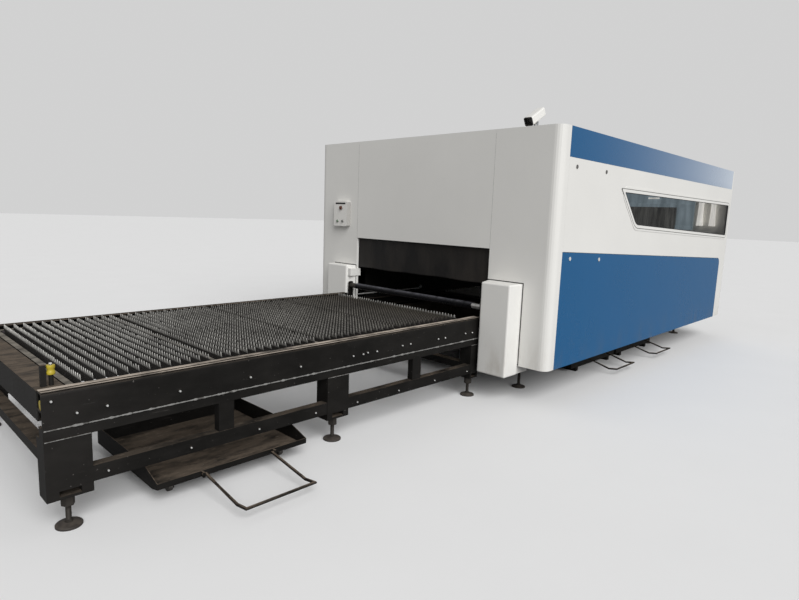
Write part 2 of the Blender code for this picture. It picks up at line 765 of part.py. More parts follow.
def scrap_tray():
    """The tray under the table with its flared front, wheels and handle."""
    front = -TRAY_FRONT
    back = front + TRAY_DEPTH
    points = [(back, TRAY_BOTTOM), (front + TRAY_FLARE, TRAY_BOTTOM), (front, TRAY_LIP_BOTTOM),
              (front, TRAY_LIP_TOP), (front + TRAY_SLOPE, TRAY_RIM), (back, TRAY_RIM)]
    low = TABLE_X + TRAY_X
    high = low + TRAY_LENGTH
    pan = Form().prism("X", points, low, high).make("scrap_tray", "black")
    wall = TRAY_WALL
    inside = [(back - wall, TRAY_BOTTOM + wall), (front + TRAY_FLARE, TRAY_BOTTOM + wall),
              (front + wall, TRAY_LIP_BOTTOM + wall), (front + wall, TRAY_RIM + OVERRUN),
              (back - wall, TRAY_RIM + OVERRUN)]
    cut(pan, Form().prism("X", inside, low + wall, high - wall), "inside")
    middle = (low + high) / 2
    hinge_z = (TRAY_LIP_TOP + TRAY_LIP_BOTTOM) / 2
    seat = (front - HINGE_OUT, hinge_z)
    add_lugs(pan, middle, seat, wall)

    axle_z = FLOOR_PLAY + TRAY_WHEEL_RADIUS
    ears = Form()
    bores = Form()
    for y in (front + TRAY_WHEEL_INSET, back - TRAY_WHEEL_INSET):
        for x in (low + TRAY_WHEEL_INSET, high - TRAY_WHEEL_INSET):
            half = TRAY_WHEEL_RADIUS / 2
            ears.block((x - LUG / 2, y - half, axle_z - half),
                       (x + LUG / 2, y + half, TRAY_BOTTOM + wall / 2))
            radius = TRAY_AXLE + RUN
            profile = [(x - LUG, 0), (x - LUG, radius), (x + LUG, radius), (x + LUG, 0)]
            bores.turned("X", (0, y, axle_z), profile, WHEEL_SIDES)
    fuse(pan, ears, "ears")
    cut(pan, bores, "axle_bores")
    pivot(pan, (middle, front, hinge_z))
    for label, y in (("front", front + TRAY_WHEEL_INSET), ("rear", back - TRAY_WHEEL_INSET)):
        start = low + TRAY_WHEEL_INSET - LUG / 2 - TOUCH
        end = high - TRAY_WHEEL_INSET + LUG / 2 + TOUCH
        left = start - TRAY_WHEEL_WIDTH
        right = end + TRAY_WHEEL_WIDTH
        profile = [(left, 0), (left, TRAY_WHEEL_RADIUS), (start, TRAY_WHEEL_RADIUS), (start, TRAY_AXLE),
                   (end, TRAY_AXLE), (end, TRAY_WHEEL_RADIUS), (right, TRAY_WHEEL_RADIUS), (right, 0)]
        wheels = Form().turned("X", (0, y, axle_z), profile, WHEEL_SIDES)
        pivot(wheels.make(f"scrap_tray_wheels_{label}", "dark_steel", True), (middle, y, axle_z))
    handle("scrap_tray_handle", middle, seat, TRAY_HANDLE_REACH, TRAY_HANDLE_ELBOW)


def scrap_drawers():
    """The pull-out scrap drawers under the machine with their handles."""
    wall = DRAWER_WALL
    front = -DRAWER_FRONT
    back = front + DRAWER_DEPTH
    for index in range(DRAWERS):
        low = FACE_X + DRAWER_X + index * DRAWER_PITCH
        high = low + DRAWER_LENGTH
        middle = (low + high) / 2
        pan = Form().block((low, front, DRAWER_BOTTOM), (high, back, DRAWER_TOP))
        pan = pan.make(f"scrap_drawer_{index + 1}", "black")
        cut(pan, Form().block((low + wall, front + wall, DRAWER_BOTTOM + wall),
                              (high - wall, back - wall, DRAWER_TOP + OVERRUN)), "inside")
        skids = Form()
        for x in (low + SKID_INSET, high - SKID_INSET - SKID_WIDTH):
            skids.block((x, front + wall, FLOOR_PLAY),
                        (x + SKID_WIDTH, back - wall, DRAWER_BOTTOM + wall / 2))
        fuse(pan, skids, "skids")
        seat = (front - HINGE_OUT, DRAWER_HINGE_Z)
        add_lugs(pan, middle, seat, wall)
        pivot(pan, (middle, front, DRAWER_HINGE_Z))
        handle(f"drawer_handle_{index + 1}", middle, seat, DRAWER_HANDLE_REACH, DRAWER_HANDLE_ELBOW)


def drive_shaft():
    """The shaft across the opening, with a coupling and a journal at each end."""
    centre = (FACE_X - SHAFT_X, 0, SHAFT_Z)
    shoulder = BEARING_INNER - TOUCH
    profile = [(-SHAFT_HALF, 0), (-SHAFT_HALF, JOURNAL_RADIUS), (-shoulder, JOURNAL_RADIUS),
               (-shoulder, COUPLING_RADIUS), (COUPLING_LENGTH - shoulder, COUPLING_RADIUS),
               (COUPLING_LENGTH - shoulder, SHAFT_RADIUS)]
    profile += [(-along, radius) for along, radius in reversed(profile)]
    shaft = Form().turned("Y", centre, profile, WHEEL_SIDES).make("drive_shaft", "dark_steel", True)
    pivot(shaft, centre)


def slat_places(section, pitch):
    """The X positions of the slats in one section of a pallet."""
    low, high = section
    count = int((high - low) / pitch)
    first = (low + high - (count - 1) * pitch) / 2
    return [first + index * pitch for index in range(count)]


def tooth_outline():
    """The outline of a slat in Y and Z, with its row of teeth."""
    tooth = 2 * SLAT_HALF / TEETH
    outline = [(SLAT_HALF, SLAT_BOTTOM)]
    for index in range(TEETH):
        start = SLAT_HALF - index * tooth
        outline += [(start, SLAT_VALLEY), (start - tooth / 2, SLAT_TIP)]
    outline += [(-SLAT_HALF, SLAT_VALLEY), (-SLAT_HALF, SLAT_BOTTOM)]
    return outline


def pallet_sections():
    """The X ranges between the cross members of a pallet at the table."""
    start = TABLE_X + PALLET_START + PALLET_END_WIDTH
    length = PALLET_LENGTH - 2 * PALLET_END_WIDTH
    section = (length - (PALLET_SECTIONS - 1) * PALLET_DIVIDER) / PALLET_SECTIONS
    pitch = section + PALLET_DIVIDER
    return [(start + index * pitch, start + index * pitch + section) for index in range(PALLET_SECTIONS)]


def wheel_centres(shift):
    """The middles of a pallet's four wheels."""
    low = TABLE_X + PALLET_START + WHEEL_INSET
    high = TABLE_X + PALLET_START + PALLET_LENGTH - WHEEL_INSET
    z = UPPER_RAIL_Z + TOUCH + WHEEL_RADIUS
    y = PALLET_HALF + PLATE / 2 + WHEEL_WIDTH / 2
    centres = []
    for end, x in (("outer", low), ("inner", high)):
        for side, sign in SIDES:
            centres.append((f"{side}_{end}", sign, Vector((x, sign * y, z)) + shift))
    return centres


def pallet_frame(name, shift):
    """Side tubes, cross members and wheel pins of a pallet, welded."""
    low = TABLE_X + PALLET_START
    high = low + PALLET_LENGTH
    tubes = Form()
    inner = PALLET_HALF - PALLET_TUBE
    for side, sign in SIDES:
        near, far = sorted((sign * inner, sign * PALLET_HALF))
        tubes.block(Vector((low, near, PALLET_TUBE_BOTTOM)) + shift,
                    Vector((high, far, PALLET_TUBE_TOP)) + shift)
    frame = tubes.make(name, "black")
    edges = [low + WELD]
    for left, right in pallet_sections():
        edges += [left, right]
    edges.append(high - WELD)
    crosses = Form()
    reach = inner + WELD
    for left, right in zip(edges[::2], edges[1::2]):
        crosses.block(Vector((left, -reach, PALLET_CROSS_BOTTOM)) + shift,
                      Vector((right, reach, PALLET_CROSS_TOP)) + shift)
    fuse(frame, crosses, "crosses")
    pins = Form()
    for label, sign, centre in wheel_centres(shift):
        tip = sign * (WHEEL_WIDTH / 2 + WELD)
        root = sign * (PALLET_HALF - WELD) - centre.y
        near, far = sorted((root, tip))
        pins.turned("Y", centre, [(near, 0), (near, WHEEL_PIN), (far, WHEEL_PIN), (far, 0)], WHEEL_SIDES)
    fuse(frame, pins, "pins")
    return pivot(frame, Vector((low, 0, UPPER_RAIL_Z)) + shift)


def pallet_wheels(prefix, shift):
    """The four wheels that a pallet runs on."""
    half = WHEEL_WIDTH / 2
    profile = ring_profile(-half, half, WHEEL_PIN + RUN, WHEEL_RADIUS)
    for label, sign, centre in wheel_centres(shift):
        wheel = Form().turned("Y", centre, profile, WHEEL_SIDES)
        pivot(wheel.make(f"{prefix}_wheel_{label}", "dark_steel", True), centre)


def upper_pallet():
    """The pallet on the table: frame, wheels and separate slat racks."""
    stay = Vector((0, 0, 0))
    pallet_frame("upper_pallet_frame", stay)
    pallet_wheels("upper", stay)
    outline = tooth_outline()
    for index, section in enumerate(pallet_sections()):
        bars = Form()
        low, high = section
        for side, sign in SIDES:
            near, far = sorted((sign * (BAR_Y - BAR / 2), sign * (BAR_Y + BAR / 2)))
            bars.block((low + TOUCH, near, BAR_BOTTOM), (high - TOUCH, far, BAR_TOP))
        rack = bars.make(f"slat_rack_{index + 1}", "steel")
        slats = Form()
        for x in slat_places(section, SLAT_PITCH):
            slats.prism("X", outline, x - SLAT / 2, x + SLAT / 2)
        fuse(rack, slats, "slats")


def lower_pallet():
    """The second pallet, inside the machine one level down, with its slats welded in."""
    shift = Vector((PALLET_TRAVEL, 0, LOWER_RAIL_Z - UPPER_RAIL_Z))
    frame = pallet_frame("lower_pallet", shift)
    reach = PALLET_HALF - PALLET_TUBE + WELD
    foot = PALLET_CROSS_BOTTOM + WELD
    step = PALLET_TUBE_TOP - WELD
    outline = [(-reach, foot), (reach, foot), (reach, step), (SLAT_HALF, step), (SLAT_HALF, SLAT_TIP),
               (-SLAT_HALF, SLAT_TIP), (-SLAT_HALF, step), (-reach, step)]
    outline = [(y, z + shift.z) for y, z in outline]
    slats = Form()
    for section in pallet_sections():
        for x in slat_places(section, HIDDEN_PITCH):
            slats.prism("X", outline, x + shift.x - SLAT / 2, x + shift.x + SLAT / 2)
    fuse(frame, slats, "slats")
    pallet_wheels("lower", shift)


def machine_bed():
    """The welded bed: two box beams with rails, ties that carry the covers, and feet."""
    start = FACE_X + BED_START
    end = REAR_X - BED_END
    rail_top = BED_TOP + RAIL_HEIGHT
    half_rail = RAIL_WIDTH / 2
    tip = TABLE_HALF - LEDGE_REACH
    ledge_bottom = UPPER_RAIL_Z - LEDGE
    lower_bottom = LOWER_RAIL_Z - LEDGE
    profile = [(BED_INNER, BED_BOTTOM), (BED_OUTER, BED_BOTTOM), (BED_OUTER, BED_TOP),
               (RAIL_Y + half_rail, BED_TOP), (RAIL_Y + half_rail, rail_top), (RAIL_Y - half_rail, rail_top),
               (RAIL_Y - half_rail, BED_TOP), (BED_INNER, BED_TOP), (BED_INNER, UPPER_RAIL_Z),
               (tip, UPPER_RAIL_Z), (tip, ledge_bottom), (BED_INNER, ledge_bottom),
               (BED_INNER, LOWER_RAIL_Z), (tip, LOWER_RAIL_Z), (tip, lower_bottom), (BED_INNER, lower_bottom)]
    beams = Form()
    hollows = Form()
    bridges = Form()
    low, high = BED_INNER + BED_WALL, BED_OUTER - BED_WALL
    bottom, top = BED_BOTTOM + BED_WALL, BED_TOP - BED_WALL
    for side, sign in SIDES:
        beams.prism("X", [(sign * y, z) for y, z in profile], start, end)
        near, far = sorted((sign * low, sign * high))
        hollows.block((start - OVERRUN, near, bottom), (end + OVERRUN, far, top))
        near, far = sorted((sign * tip, sign * BRIDGE_OUTER))
        for level in (UPPER_RAIL_Z, LOWER_RAIL_Z):
            bridges.block((TABLE_END_X + TOUCH, near, level - LEDGE + BRIDGE_DROP),
                          (start + OVERRUN, far, level - BRIDGE_DROP))
    bed = beams.make("machine_bed", "grey")
    cut(bed, hollows, "hollows")
    reach = HALF_WIDTH - SHEET - TOUCH
    ties = Form()
    middle = (start + end - OUTRIGGER_WIDTH) / 2
    for left in (start + OUTRIGGER_INSET, middle, end - OUTRIGGER_INSET - OUTRIGGER_WIDTH):
        ties.block((left, -reach, BED_BOTTOM + WELD),
                   (left + OUTRIGGER_WIDTH, reach, BED_BOTTOM + OUTRIGGER_HEIGHT))
    fuse(bed, ties, "ties")
    fuse(bed, bridges, "bridges")
    feet = Form()
    drawers_end = DRAWER_X + (DRAWERS - 1) * DRAWER_PITCH + DRAWER_LENGTH
    places = (BED_START + BED_FOOT_INSET, drawers_end + BED_FOOT_MARGIN,
              ENCLOSURE_LENGTH - BED_END - BED_FOOT_INSET)
    for place in places:
        for side, sign in SIDES:
            feet.turned("Z", (FACE_X + place, sign * BED_FOOT_Y, 0), foot_profile(BED_BOTTOM), FOOT_SIDES)
    fuse(bed, feet, "feet")


def end_panels():
    """The three panels of the end face; the outer two reach round the corners."""
    for side, sign in SIDES:
        points = [(FACE_X, OPENING_HALF), (FACE_X, HALF_WIDTH), (FACE_X + FRONT_WRAP, HALF_WIDTH),
                  (FACE_X + FRONT_WRAP, HALF_WIDTH - SHEET), (FACE_X + SHEET, HALF_WIDTH - SHEET),
                  (FACE_X + SHEET, OPENING_HALF)]
        outline = rounded(points, [0, CORNER_RADIUS, 0, 0, CORNER_RADIUS - SHEET], 6)
        shape = Form().prism("Z", [(x, sign * y) for x, y in outline], SKIRT_Z, ENCLOSURE_TOP)
        shape.make(f"end_panel_{side}", "white", True)
    reach = OPENING_HALF - SEAM
    shape = Form().block((FACE_X, -reach, OPENING_TOP), (FACE_X + SHEET, reach, ENCLOSURE_TOP))
    shape.make("end_panel_top", "white")


def rear_panel():
    """The rear cover, one folded panel that reaches round both rear corners."""
    outer = HALF_WIDTH
    inner = HALF_WIDTH - SHEET
    wrap = REAR_X - REAR_WRAP
    points = [(wrap, -outer), (REAR_X, -outer), (REAR_X, outer), (wrap, outer), (wrap, inner),
              (REAR_X - SHEET, inner), (REAR_X - SHEET, -inner), (wrap, -inner)]
    bend = CORNER_RADIUS - SHEET
    outline = rounded(points, [0, CORNER_RADIUS, CORNER_RADIUS, 0, 0, bend, bend], 6)
    Form().prism("Z", outline, SKIRT_Z, ENCLOSURE_TOP).make("rear_panel", "white", True)


def side_panels():
    """White side panels with the blue band, the blue lower panel and the window."""
    start = FACE_X + FRONT_WRAP + SEAM
    end = REAR_X - REAR_WRAP - SEAM
    panel_end = REAR_X - REAR_WRAP - PANEL_END
    blue = [(start, SKIRT_Z), (panel_end, SKIRT_Z), (panel_end, PANEL_FAR_TOP), (start, PANEL_NEAR_TOP)]
    pocket = [(start - OVERRUN, SKIRT_Z - OVERRUN), (panel_end + REVEAL, SKIRT_Z - OVERRUN),
              (panel_end + REVEAL, PANEL_FAR_TOP + REVEAL), (start - OVERRUN, PANEL_NEAR_TOP + REVEAL)]
    window = rounded([(FACE_X + WINDOW_LOW_LEFT, WINDOW_LOW_LEFT_Z),
                      (FACE_X + WINDOW_RIGHT, WINDOW_LOW_RIGHT_Z),
                      (FACE_X + WINDOW_RIGHT, WINDOW_TOP), (FACE_X + WINDOW_LEFT, WINDOW_TOP)],
                     [WINDOW_NOSE, WINDOW_CORNER, WINDOW_CORNER, WINDOW_CORNER])
    slope = (PANEL_FAR_TOP - PANEL_NEAR_TOP) / (panel_end - start)
    for side, sign in SIDES:
        outer = sign * HALF_WIDTH
        inner = sign * (HALF_WIDTH - SHEET)
        floor = sign * (HALF_WIDTH - POCKET)
        low, high = sorted((inner, outer))
        panel = Form().block((start, low, SKIRT_Z), (end, high, BAND_Z - SEAM))
        panel = panel.make(f"side_panel_{side}", "white")
        low, high = sorted((floor, outer + sign * OVERRUN))
        cut(panel, Form().prism("Y", rounded(pocket, [0, 0, PANEL_CORNER + REVEAL]), low, high), "pocket")
        low, high = sorted((floor + sign * TOUCH, outer))
        cover = Form().prism("Y", rounded(blue, [0, 0, PANEL_CORNER]), low, high)
        cover = cover.make(f"blue_panel_{side}", "blue")
        low, high = sorted((inner, outer))
        Form().block((start, low, BAND_Z), (end, high, ENCLOSURE_TOP)).make(f"blue_band_{side}", "blue")
        root, tip = -sign * WELD, sign * CAP_PROUD
        profile = [(root, 0), (root, CAP_RADIUS), (tip, CAP_RADIUS), (tip, 0)]
        upper_caps = Form()
        lower_caps = Form()
        for place in CAP_PLACES:
            x = FACE_X + place
            edge = PANEL_NEAR_TOP + (x - start) * slope
            upper_caps.turned("Y", (x, outer, CAP_Z), profile, CAP_SIDES)
            lower_caps.turned("Y", (x, outer, edge - CAP_DROP), profile, CAP_SIDES)
        fuse(panel, upper_caps, "caps")
        fuse(cover, lower_caps, "caps")
        if sign < 0:
            low, high = sorted((outer - sign * WELD, outer + sign * TRIM_PROUD))
            fuse(panel, Form().prism("Y", inset(window, -TRIM_WIDTH), low, high), "trim")
            low, high = sorted((inner - sign * OVERRUN, outer + sign * OVERRUN))
            cut(panel, Form().prism("Y", window, low, high), "window")
            face = outer - sign * GLASS_RECESS
            low, high = sorted((face, face - sign * GLASS))
            Form().prism("Y", inset(window, GLASS_PLAY), low, high).make("window_glass", "glass")


def roof():
    """The roof sheet with its pressed stiffening beads."""
    reach = HALF_WIDTH - SHEET - SEAM
    low = FACE_X + SHEET + SEAM
    high = REAR_X - SHEET - SEAM
    top = ENCLOSURE_TOP - ROOF_DROP
    corner = CORNER_RADIUS
    outline = [(low, -reach + corner), (low + corner, -reach), (high - corner, -reach),
               (high, -reach + corner), (high, reach - corner), (high - corner, reach),
               (low + corner, reach), (low, reach - corner)]
    sheet = Form().prism("Z", outline, top - ROOF_THICKNESS, top).make("roof_panel", "white")
    beads = Form()
    count = int((high - low) / BEAD_PITCH)
    first = (low + high - (count - 1) * BEAD_PITCH) / 2
    for index in range(count):
        x = first + index * BEAD_PITCH
        beads.block((x - BEAD_WIDTH / 2, -reach + 2 * corner, top - WELD),
                    (x + BEAD_WIDTH / 2, reach - 2 * corner, top + BEAD_HEIGHT))
    fuse(sheet, beads, "beads")


def column_covers():
    """The white covers beside the opening, with the tail that reaches under the skirt."""
    back = FACE_X - TOUCH
    outer = OPENING_HALF + COVER_WIDTH
    for side, sign in SIDES:
        depth, taper, top = COVER_SHAPES[side]
        front = FACE_X - depth
        outline = [(back, sign * OPENING_HALF), (front, sign * (OPENING_HALF + taper)),
                   (front, sign * outer), (back, sign * outer)]
        cover = Form().prism("Z", outline, COVER_BOTTOM, top).make(f"column_cover_{side}", "white")
        bevel(cover, COVER_EDGE, 2)
        wall = COVER_WALL
        hollow = [(back + OVERRUN, sign * (OPENING_HALF + wall)),
                  (front + wall, sign * (OPENING_HALF + taper + wall)),
                  (front + wall, sign * (outer - wall)), (back + OVERRUN, sign * (outer - wall))]
        cut(cover, Form().prism("Z", hollow, SKIRT_Z + wall, top - wall), "hollow")
        low, high = sorted((sign * (OPENING_HALF + COVER_TAIL_INSET), sign * (outer - COVER_EDGE)))
        tail = Form().block((back - COVER_EDGE * 2, low, COVER_BOTTOM + WELD),
                            (FACE_X + BED_START - TOUCH, high, SKIRT_Z - TOUCH))
        fuse(cover, tail, "tail")
        if side == "far":
            start = front + HEAD_START
            proud, flush, welded = (OPENING_HALF + step for step in (-HEAD_PROUD, -TOUCH, taper))
            outline = [(start, welded), (start, proud), (start + HEAD_LENGTH, proud),
                       (start + HEAD_LENGTH, flush), (back - WELD, flush), (back - WELD, welded)]
            fuse(cover, Form().prism("Z", outline, HEAD_LOW, HEAD_HIGH), "sensor head")


def curtain():
    """The hanging flap in the upper part of the opening."""
    face = FACE_X + SHEET + TOUCH
    reach = OPENING_HALF
    steps = CURTAIN_WAVES * CURTAIN_STEPS
    front = []
    for step in range(steps + 1):
        wave = (1 - math.cos(math.tau * step / CURTAIN_STEPS)) / 2
        front.append((face + CURTAIN_WAVE * wave, reach - 2 * reach * step / steps))
    back = [(x + CURTAIN_THICKNESS, y) for x, y in reversed(front)]
    flap = Form().prism("Z", front + back, CURTAIN_BOTTOM, OPENING_TOP + CURTAIN_LAP)
    flap.make("opening_curtain", "curtain")


def control_box():
    """The box on the end face with its emergency stop and two push buttons."""
    back = FACE_X - TOUCH
    front = back - BOX_DEPTH
    half_width = BOX_WIDTH / 2
    half_height = BOX_HEIGHT / 2
    corner = [BOX_CORNER] * 4
    points = [(BOX_Y - half_width, BOX_Z - half_height), (BOX_Y + half_width, BOX_Z - half_height),
              (BOX_Y + half_width, BOX_Z + half_height), (BOX_Y - half_width, BOX_Z + half_height)]
    box = Form().prism("X", rounded(points, corner, 2), front, back).make("control_box", "white")
    stop = (STOP_Z, STOP_RADIUS, STOP_STEM, STOP_TRAVEL)
    button = (BUTTON_Z, BUTTON_RADIUS, BUTTON_STEM, BUTTON_TRAVEL)
    controls = (("emergency_stop", BOX_Y + STOP_OFFSET, *stop, "red"),
                ("button_start", BOX_Y + BUTTON_OFFSET, *button, "green"),
                ("button_reset", BOX_Y - BUTTON_OFFSET, *button, "grey"))
    holes = Form()
    for name, y, z, radius, stem, travel, key in controls:
        bore = stem + RUN
        profile = [(-OVERRUN, 0), (-OVERRUN, bore), (STEM_HOLE, bore), (STEM_HOLE, 0)]
        holes.turned("X", (front, y, z), profile, WHEEL_SIDES)
        under = -travel - TOUCH * 2
        face = under - CAP_DEPTH
        crown = radius * BUTTON_CROWN_SHARE
        profile = [(face, 0), (face, crown), (face + CAP_DEPTH / 2, radius), (under, radius), (under, stem),
                   (STEM_LENGTH, stem), (STEM_LENGTH, 0)]
        made = Form().turned("X", (front, y, z), profile, WHEEL_SIDES).make(name, key, True)
        pivot(made, (front, y, z))
    cut(box, holes, "holes")


def roof_camera():
    """The camera on the roof that looks down on the table, tilting in its bracket."""
    roof_top = ENCLOSURE_TOP - ROOF_DROP
    axis = Vector((FACE_X + CAMERA_X, CAMERA_Y, roof_top + CAMERA_LIFT))
    half = BRACKET_BASE / 2
    foot = roof_top + TOUCH
    base = Form().block((axis.x - half, axis.y - half, foot), (axis.x + half, axis.y + half, foot + EAR))
    bracket = base.make("camera_bracket", "white")
    ears = Form()
    gap = CAMERA_LUG / 2 + TOUCH
    for sign in (-1, 1):
        low, high = sorted((axis.y + sign * gap, axis.y + sign * (gap + EAR)))
        ears.block((axis.x - EAR_WIDTH / 2, low, foot + EAR / 2),
                   (axis.x + EAR_WIDTH / 2, high, axis.z + EAR_RISE))
    fuse(bracket, ears, "ears")
    reach = gap + EAR / 2
    pin = [(-reach, 0), (-reach, TILT_PIN), (reach, TILT_PIN), (reach, 0)]
    fuse(bracket, Form().turned("Y", axis, pin, FOOT_SIDES), "pin")

    middle = CAMERA_RISE
    half_height = CAMERA_HEIGHT / 2
    half_width = CAMERA_WIDTH / 2
    half_length = CAMERA_LENGTH / 2
    points = [(-half_width, middle - half_height), (half_width, middle - half_height),
              (half_width, middle + half_height), (-half_width, middle + half_height)]
    housing = rounded(points, [CAMERA_CORNER] * 4, 2)
    body = Form().prism("X", housing, -half_length, half_length).make("roof_camera", "white")
    body.location = axis
    body.rotation_euler = (0, -CAMERA_TILT, 0)
    turn = Matrix.Translation(axis) @ Matrix.Rotation(-CAMERA_TILT, 4, "Y")
    recess = Form().prism("X", inset(housing, HOOD_WALL), -half_length - OVERRUN, HOOD_DEPTH - half_length)
    bmesh.ops.transform(recess.mesh, matrix=turn, verts=recess.mesh.verts)
    cut(body, recess, "hood")
    lug = Form().block((-EAR_WIDTH / 2, -CAMERA_LUG / 2, -EAR_RISE),
                       (EAR_WIDTH / 2, CAMERA_LUG / 2, middle - half_height + WELD))
    bmesh.ops.transform(lug.mesh, matrix=turn, verts=lug.mesh.verts)
    fuse(body, lug, "lug")
    bore = TILT_PIN + RUN
    profile = [(-CAMERA_LUG, 0), (-CAMERA_LUG, bore), (CAMERA_LUG, bore), (CAMERA_LUG, 0)]
    cut(body, Form().turned("Y", axis, profile, WHEEL_SIDES), "bore")


def gantry():
    """The gantry beam on its rails, the carriage on its face and the cutting head."""
    middle = REAR_X - GANTRY_X
    half = GANTRY_WIDTH / 2
    left, right = middle - half, middle + half
    bottom, top = GANTRY_BOTTOM, GANTRY_BOTTOM + GANTRY_HEIGHT
    points = [(left, bottom), (right - GANTRY_CHAMFER, bottom), (right, bottom + GANTRY_CHAMFER),
              (right, top - GANTRY_CHAMFER), (right - GANTRY_CHAMFER, top), (left, top)]
    beam = Form().prism("Y", points, -GANTRY_HALF, GANTRY_HALF).make("gantry_beam", "blue")
    hollow = inset(points, GANTRY_WALL)
    cut(beam, Form().prism("Y", hollow, -GANTRY_HALF - OVERRUN, GANTRY_HALF + OVERRUN), "hollow")
    feet = Form()
    grooves = Form()
    rail_top = BED_TOP + RAIL_HEIGHT
    for side, sign in SIDES:
        low, high = sorted((sign * (GANTRY_HALF - GANTRY_FOOT), sign * (GANTRY_HALF - WELD)))
        feet.block((left + WELD, low, BED_TOP + WELD), (right - WELD, high, bottom + GANTRY_WALL / 2))
        half_rail = RAIL_WIDTH / 2 + TOUCH
        low, high = sorted((sign * (RAIL_Y - half_rail), sign * (RAIL_Y + half_rail)))
        grooves.block((left - OVERRUN, low, BED_TOP - OVERRUN), (right + OVERRUN, high, rail_top + TOUCH))
    fuse(beam, feet, "feet")
    cut(beam, grooves, "grooves")
    pivot(beam, (middle, 0, rail_top))

    face = left - TOUCH
    half_width = CARRIAGE_WIDTH / 2
    low, high = bottom - CARRIAGE_RISE, top + CARRIAGE_RISE
    carriage = Form().block((face - CARRIAGE_DEPTH, -half_width, low), (face, half_width, high))
    carriage = carriage.make("cross_carriage", "dark_steel")
    hook = Form().block((face - CARRIAGE_DEPTH + WELD, -half_width + WELD, top + TOUCH),
                        (face + half, half_width - WELD, high - WELD))
    fuse(carriage, hook, "hook")
    pivot(carriage, (face, 0, top))

    front = face - CARRIAGE_DEPTH - TOUCH
    half_width = SLIDE_WIDTH / 2
    slide = Form().block((front - SLIDE_DEPTH, -half_width, SLIDE_BOTTOM), (front, half_width, SLIDE_TOP))
    slide = slide.make("cutting_head", "grey")
    shoulder = HEAD_RADIUS * HEAD_NECK_SHARE
    tip = NOZZLE_Z + HEAD_RADIUS
    profile = [(NOZZLE_Z, 0), (NOZZLE_Z, NOZZLE_RADIUS), (tip, shoulder), (HEAD_BODY_BOTTOM, shoulder),
               (HEAD_BODY_BOTTOM, HEAD_RADIUS), (HEAD_BODY_TOP, HEAD_RADIUS), (HEAD_BODY_TOP, 0)]
    centre = (front - SLIDE_DEPTH - HEAD_RADIUS + WELD, 0, 0)
    fuse(slide, Form().turned("Z", centre, profile, HEAD_SIDES), "head")
    pivot(slide, (front, 0, SLIDE_TOP))


def build():
    """Models every sub-part."""
    clear_scene()
    table_side_rails()
    table_side_frames()
    table_cross_members()
    table_guides()
    scrap_tray()
    drive_shaft()
    upper_pallet()
    lower_pallet()
    machine_bed()
    end_panels()
    rear_panel()
    side_panels()
    roof()
    column_covers()
    curtain()
    control_box()
    roof_camera()
    scrap_drawers()
    gantry()


build()
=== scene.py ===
"""Dresses the packed fiber laser cutting machine: fine slats, fasteners, welds, trims and paint.

Metres, +Z up. +X runs from the exchange table to the far end of the enclosure and -Y is the
side with the window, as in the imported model.
"""

import logging
import math
import random
from dataclasses import dataclass, field
from enum import Enum
from typing import Sequence

import bmesh
import bpy
from mathutils import Matrix, Vector


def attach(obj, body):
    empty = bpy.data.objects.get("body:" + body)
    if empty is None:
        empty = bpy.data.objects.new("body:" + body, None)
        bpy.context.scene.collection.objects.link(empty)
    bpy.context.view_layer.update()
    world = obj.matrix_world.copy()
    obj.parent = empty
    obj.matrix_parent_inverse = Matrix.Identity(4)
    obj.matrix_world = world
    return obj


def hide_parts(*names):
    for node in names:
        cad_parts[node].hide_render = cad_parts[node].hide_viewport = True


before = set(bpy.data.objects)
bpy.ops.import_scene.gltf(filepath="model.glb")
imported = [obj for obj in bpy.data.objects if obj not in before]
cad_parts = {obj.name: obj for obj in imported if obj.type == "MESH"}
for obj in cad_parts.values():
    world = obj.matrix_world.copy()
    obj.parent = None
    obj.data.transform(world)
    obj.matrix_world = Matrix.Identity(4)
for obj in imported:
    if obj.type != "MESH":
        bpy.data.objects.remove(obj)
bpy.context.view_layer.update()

logging.basicConfig(level=logging.INFO, format="%(message)s")
log = logging.getLogger("dressing")

Colour = tuple[float, float, float]
Point = Sequence[float]
Outline = list[tuple[float, float]]
Profile = Sequence[tuple[float, float]]
MACHINE = "machine"


class Side(Enum):
    """The two long sides of the machine, with the sign of their Y."""

    NEAR = -1
    FAR = 1

    @property
    def label(self) -> str:
        """The side's name as the CAD nodes spell it."""
        return self.name.lower()

    def span(self, first: float, second: float) -> tuple[float, float]:
        """The low and the high Y of a strip that lies between two distances from the middle."""
        low, high = sorted((self.value * first, self.value * second))
        return low, high


class Axis(Enum):
    """The direction that an outline is drawn out along."""

    X = 0
    Y = 1
    Z = 2


# Shader helpers


def shaded(colour: Colour, share: float) -> Colour:
    """A colour made darker or brighter by a share."""
    red, green, blue = colour
    return red * share, green * share, blue * share


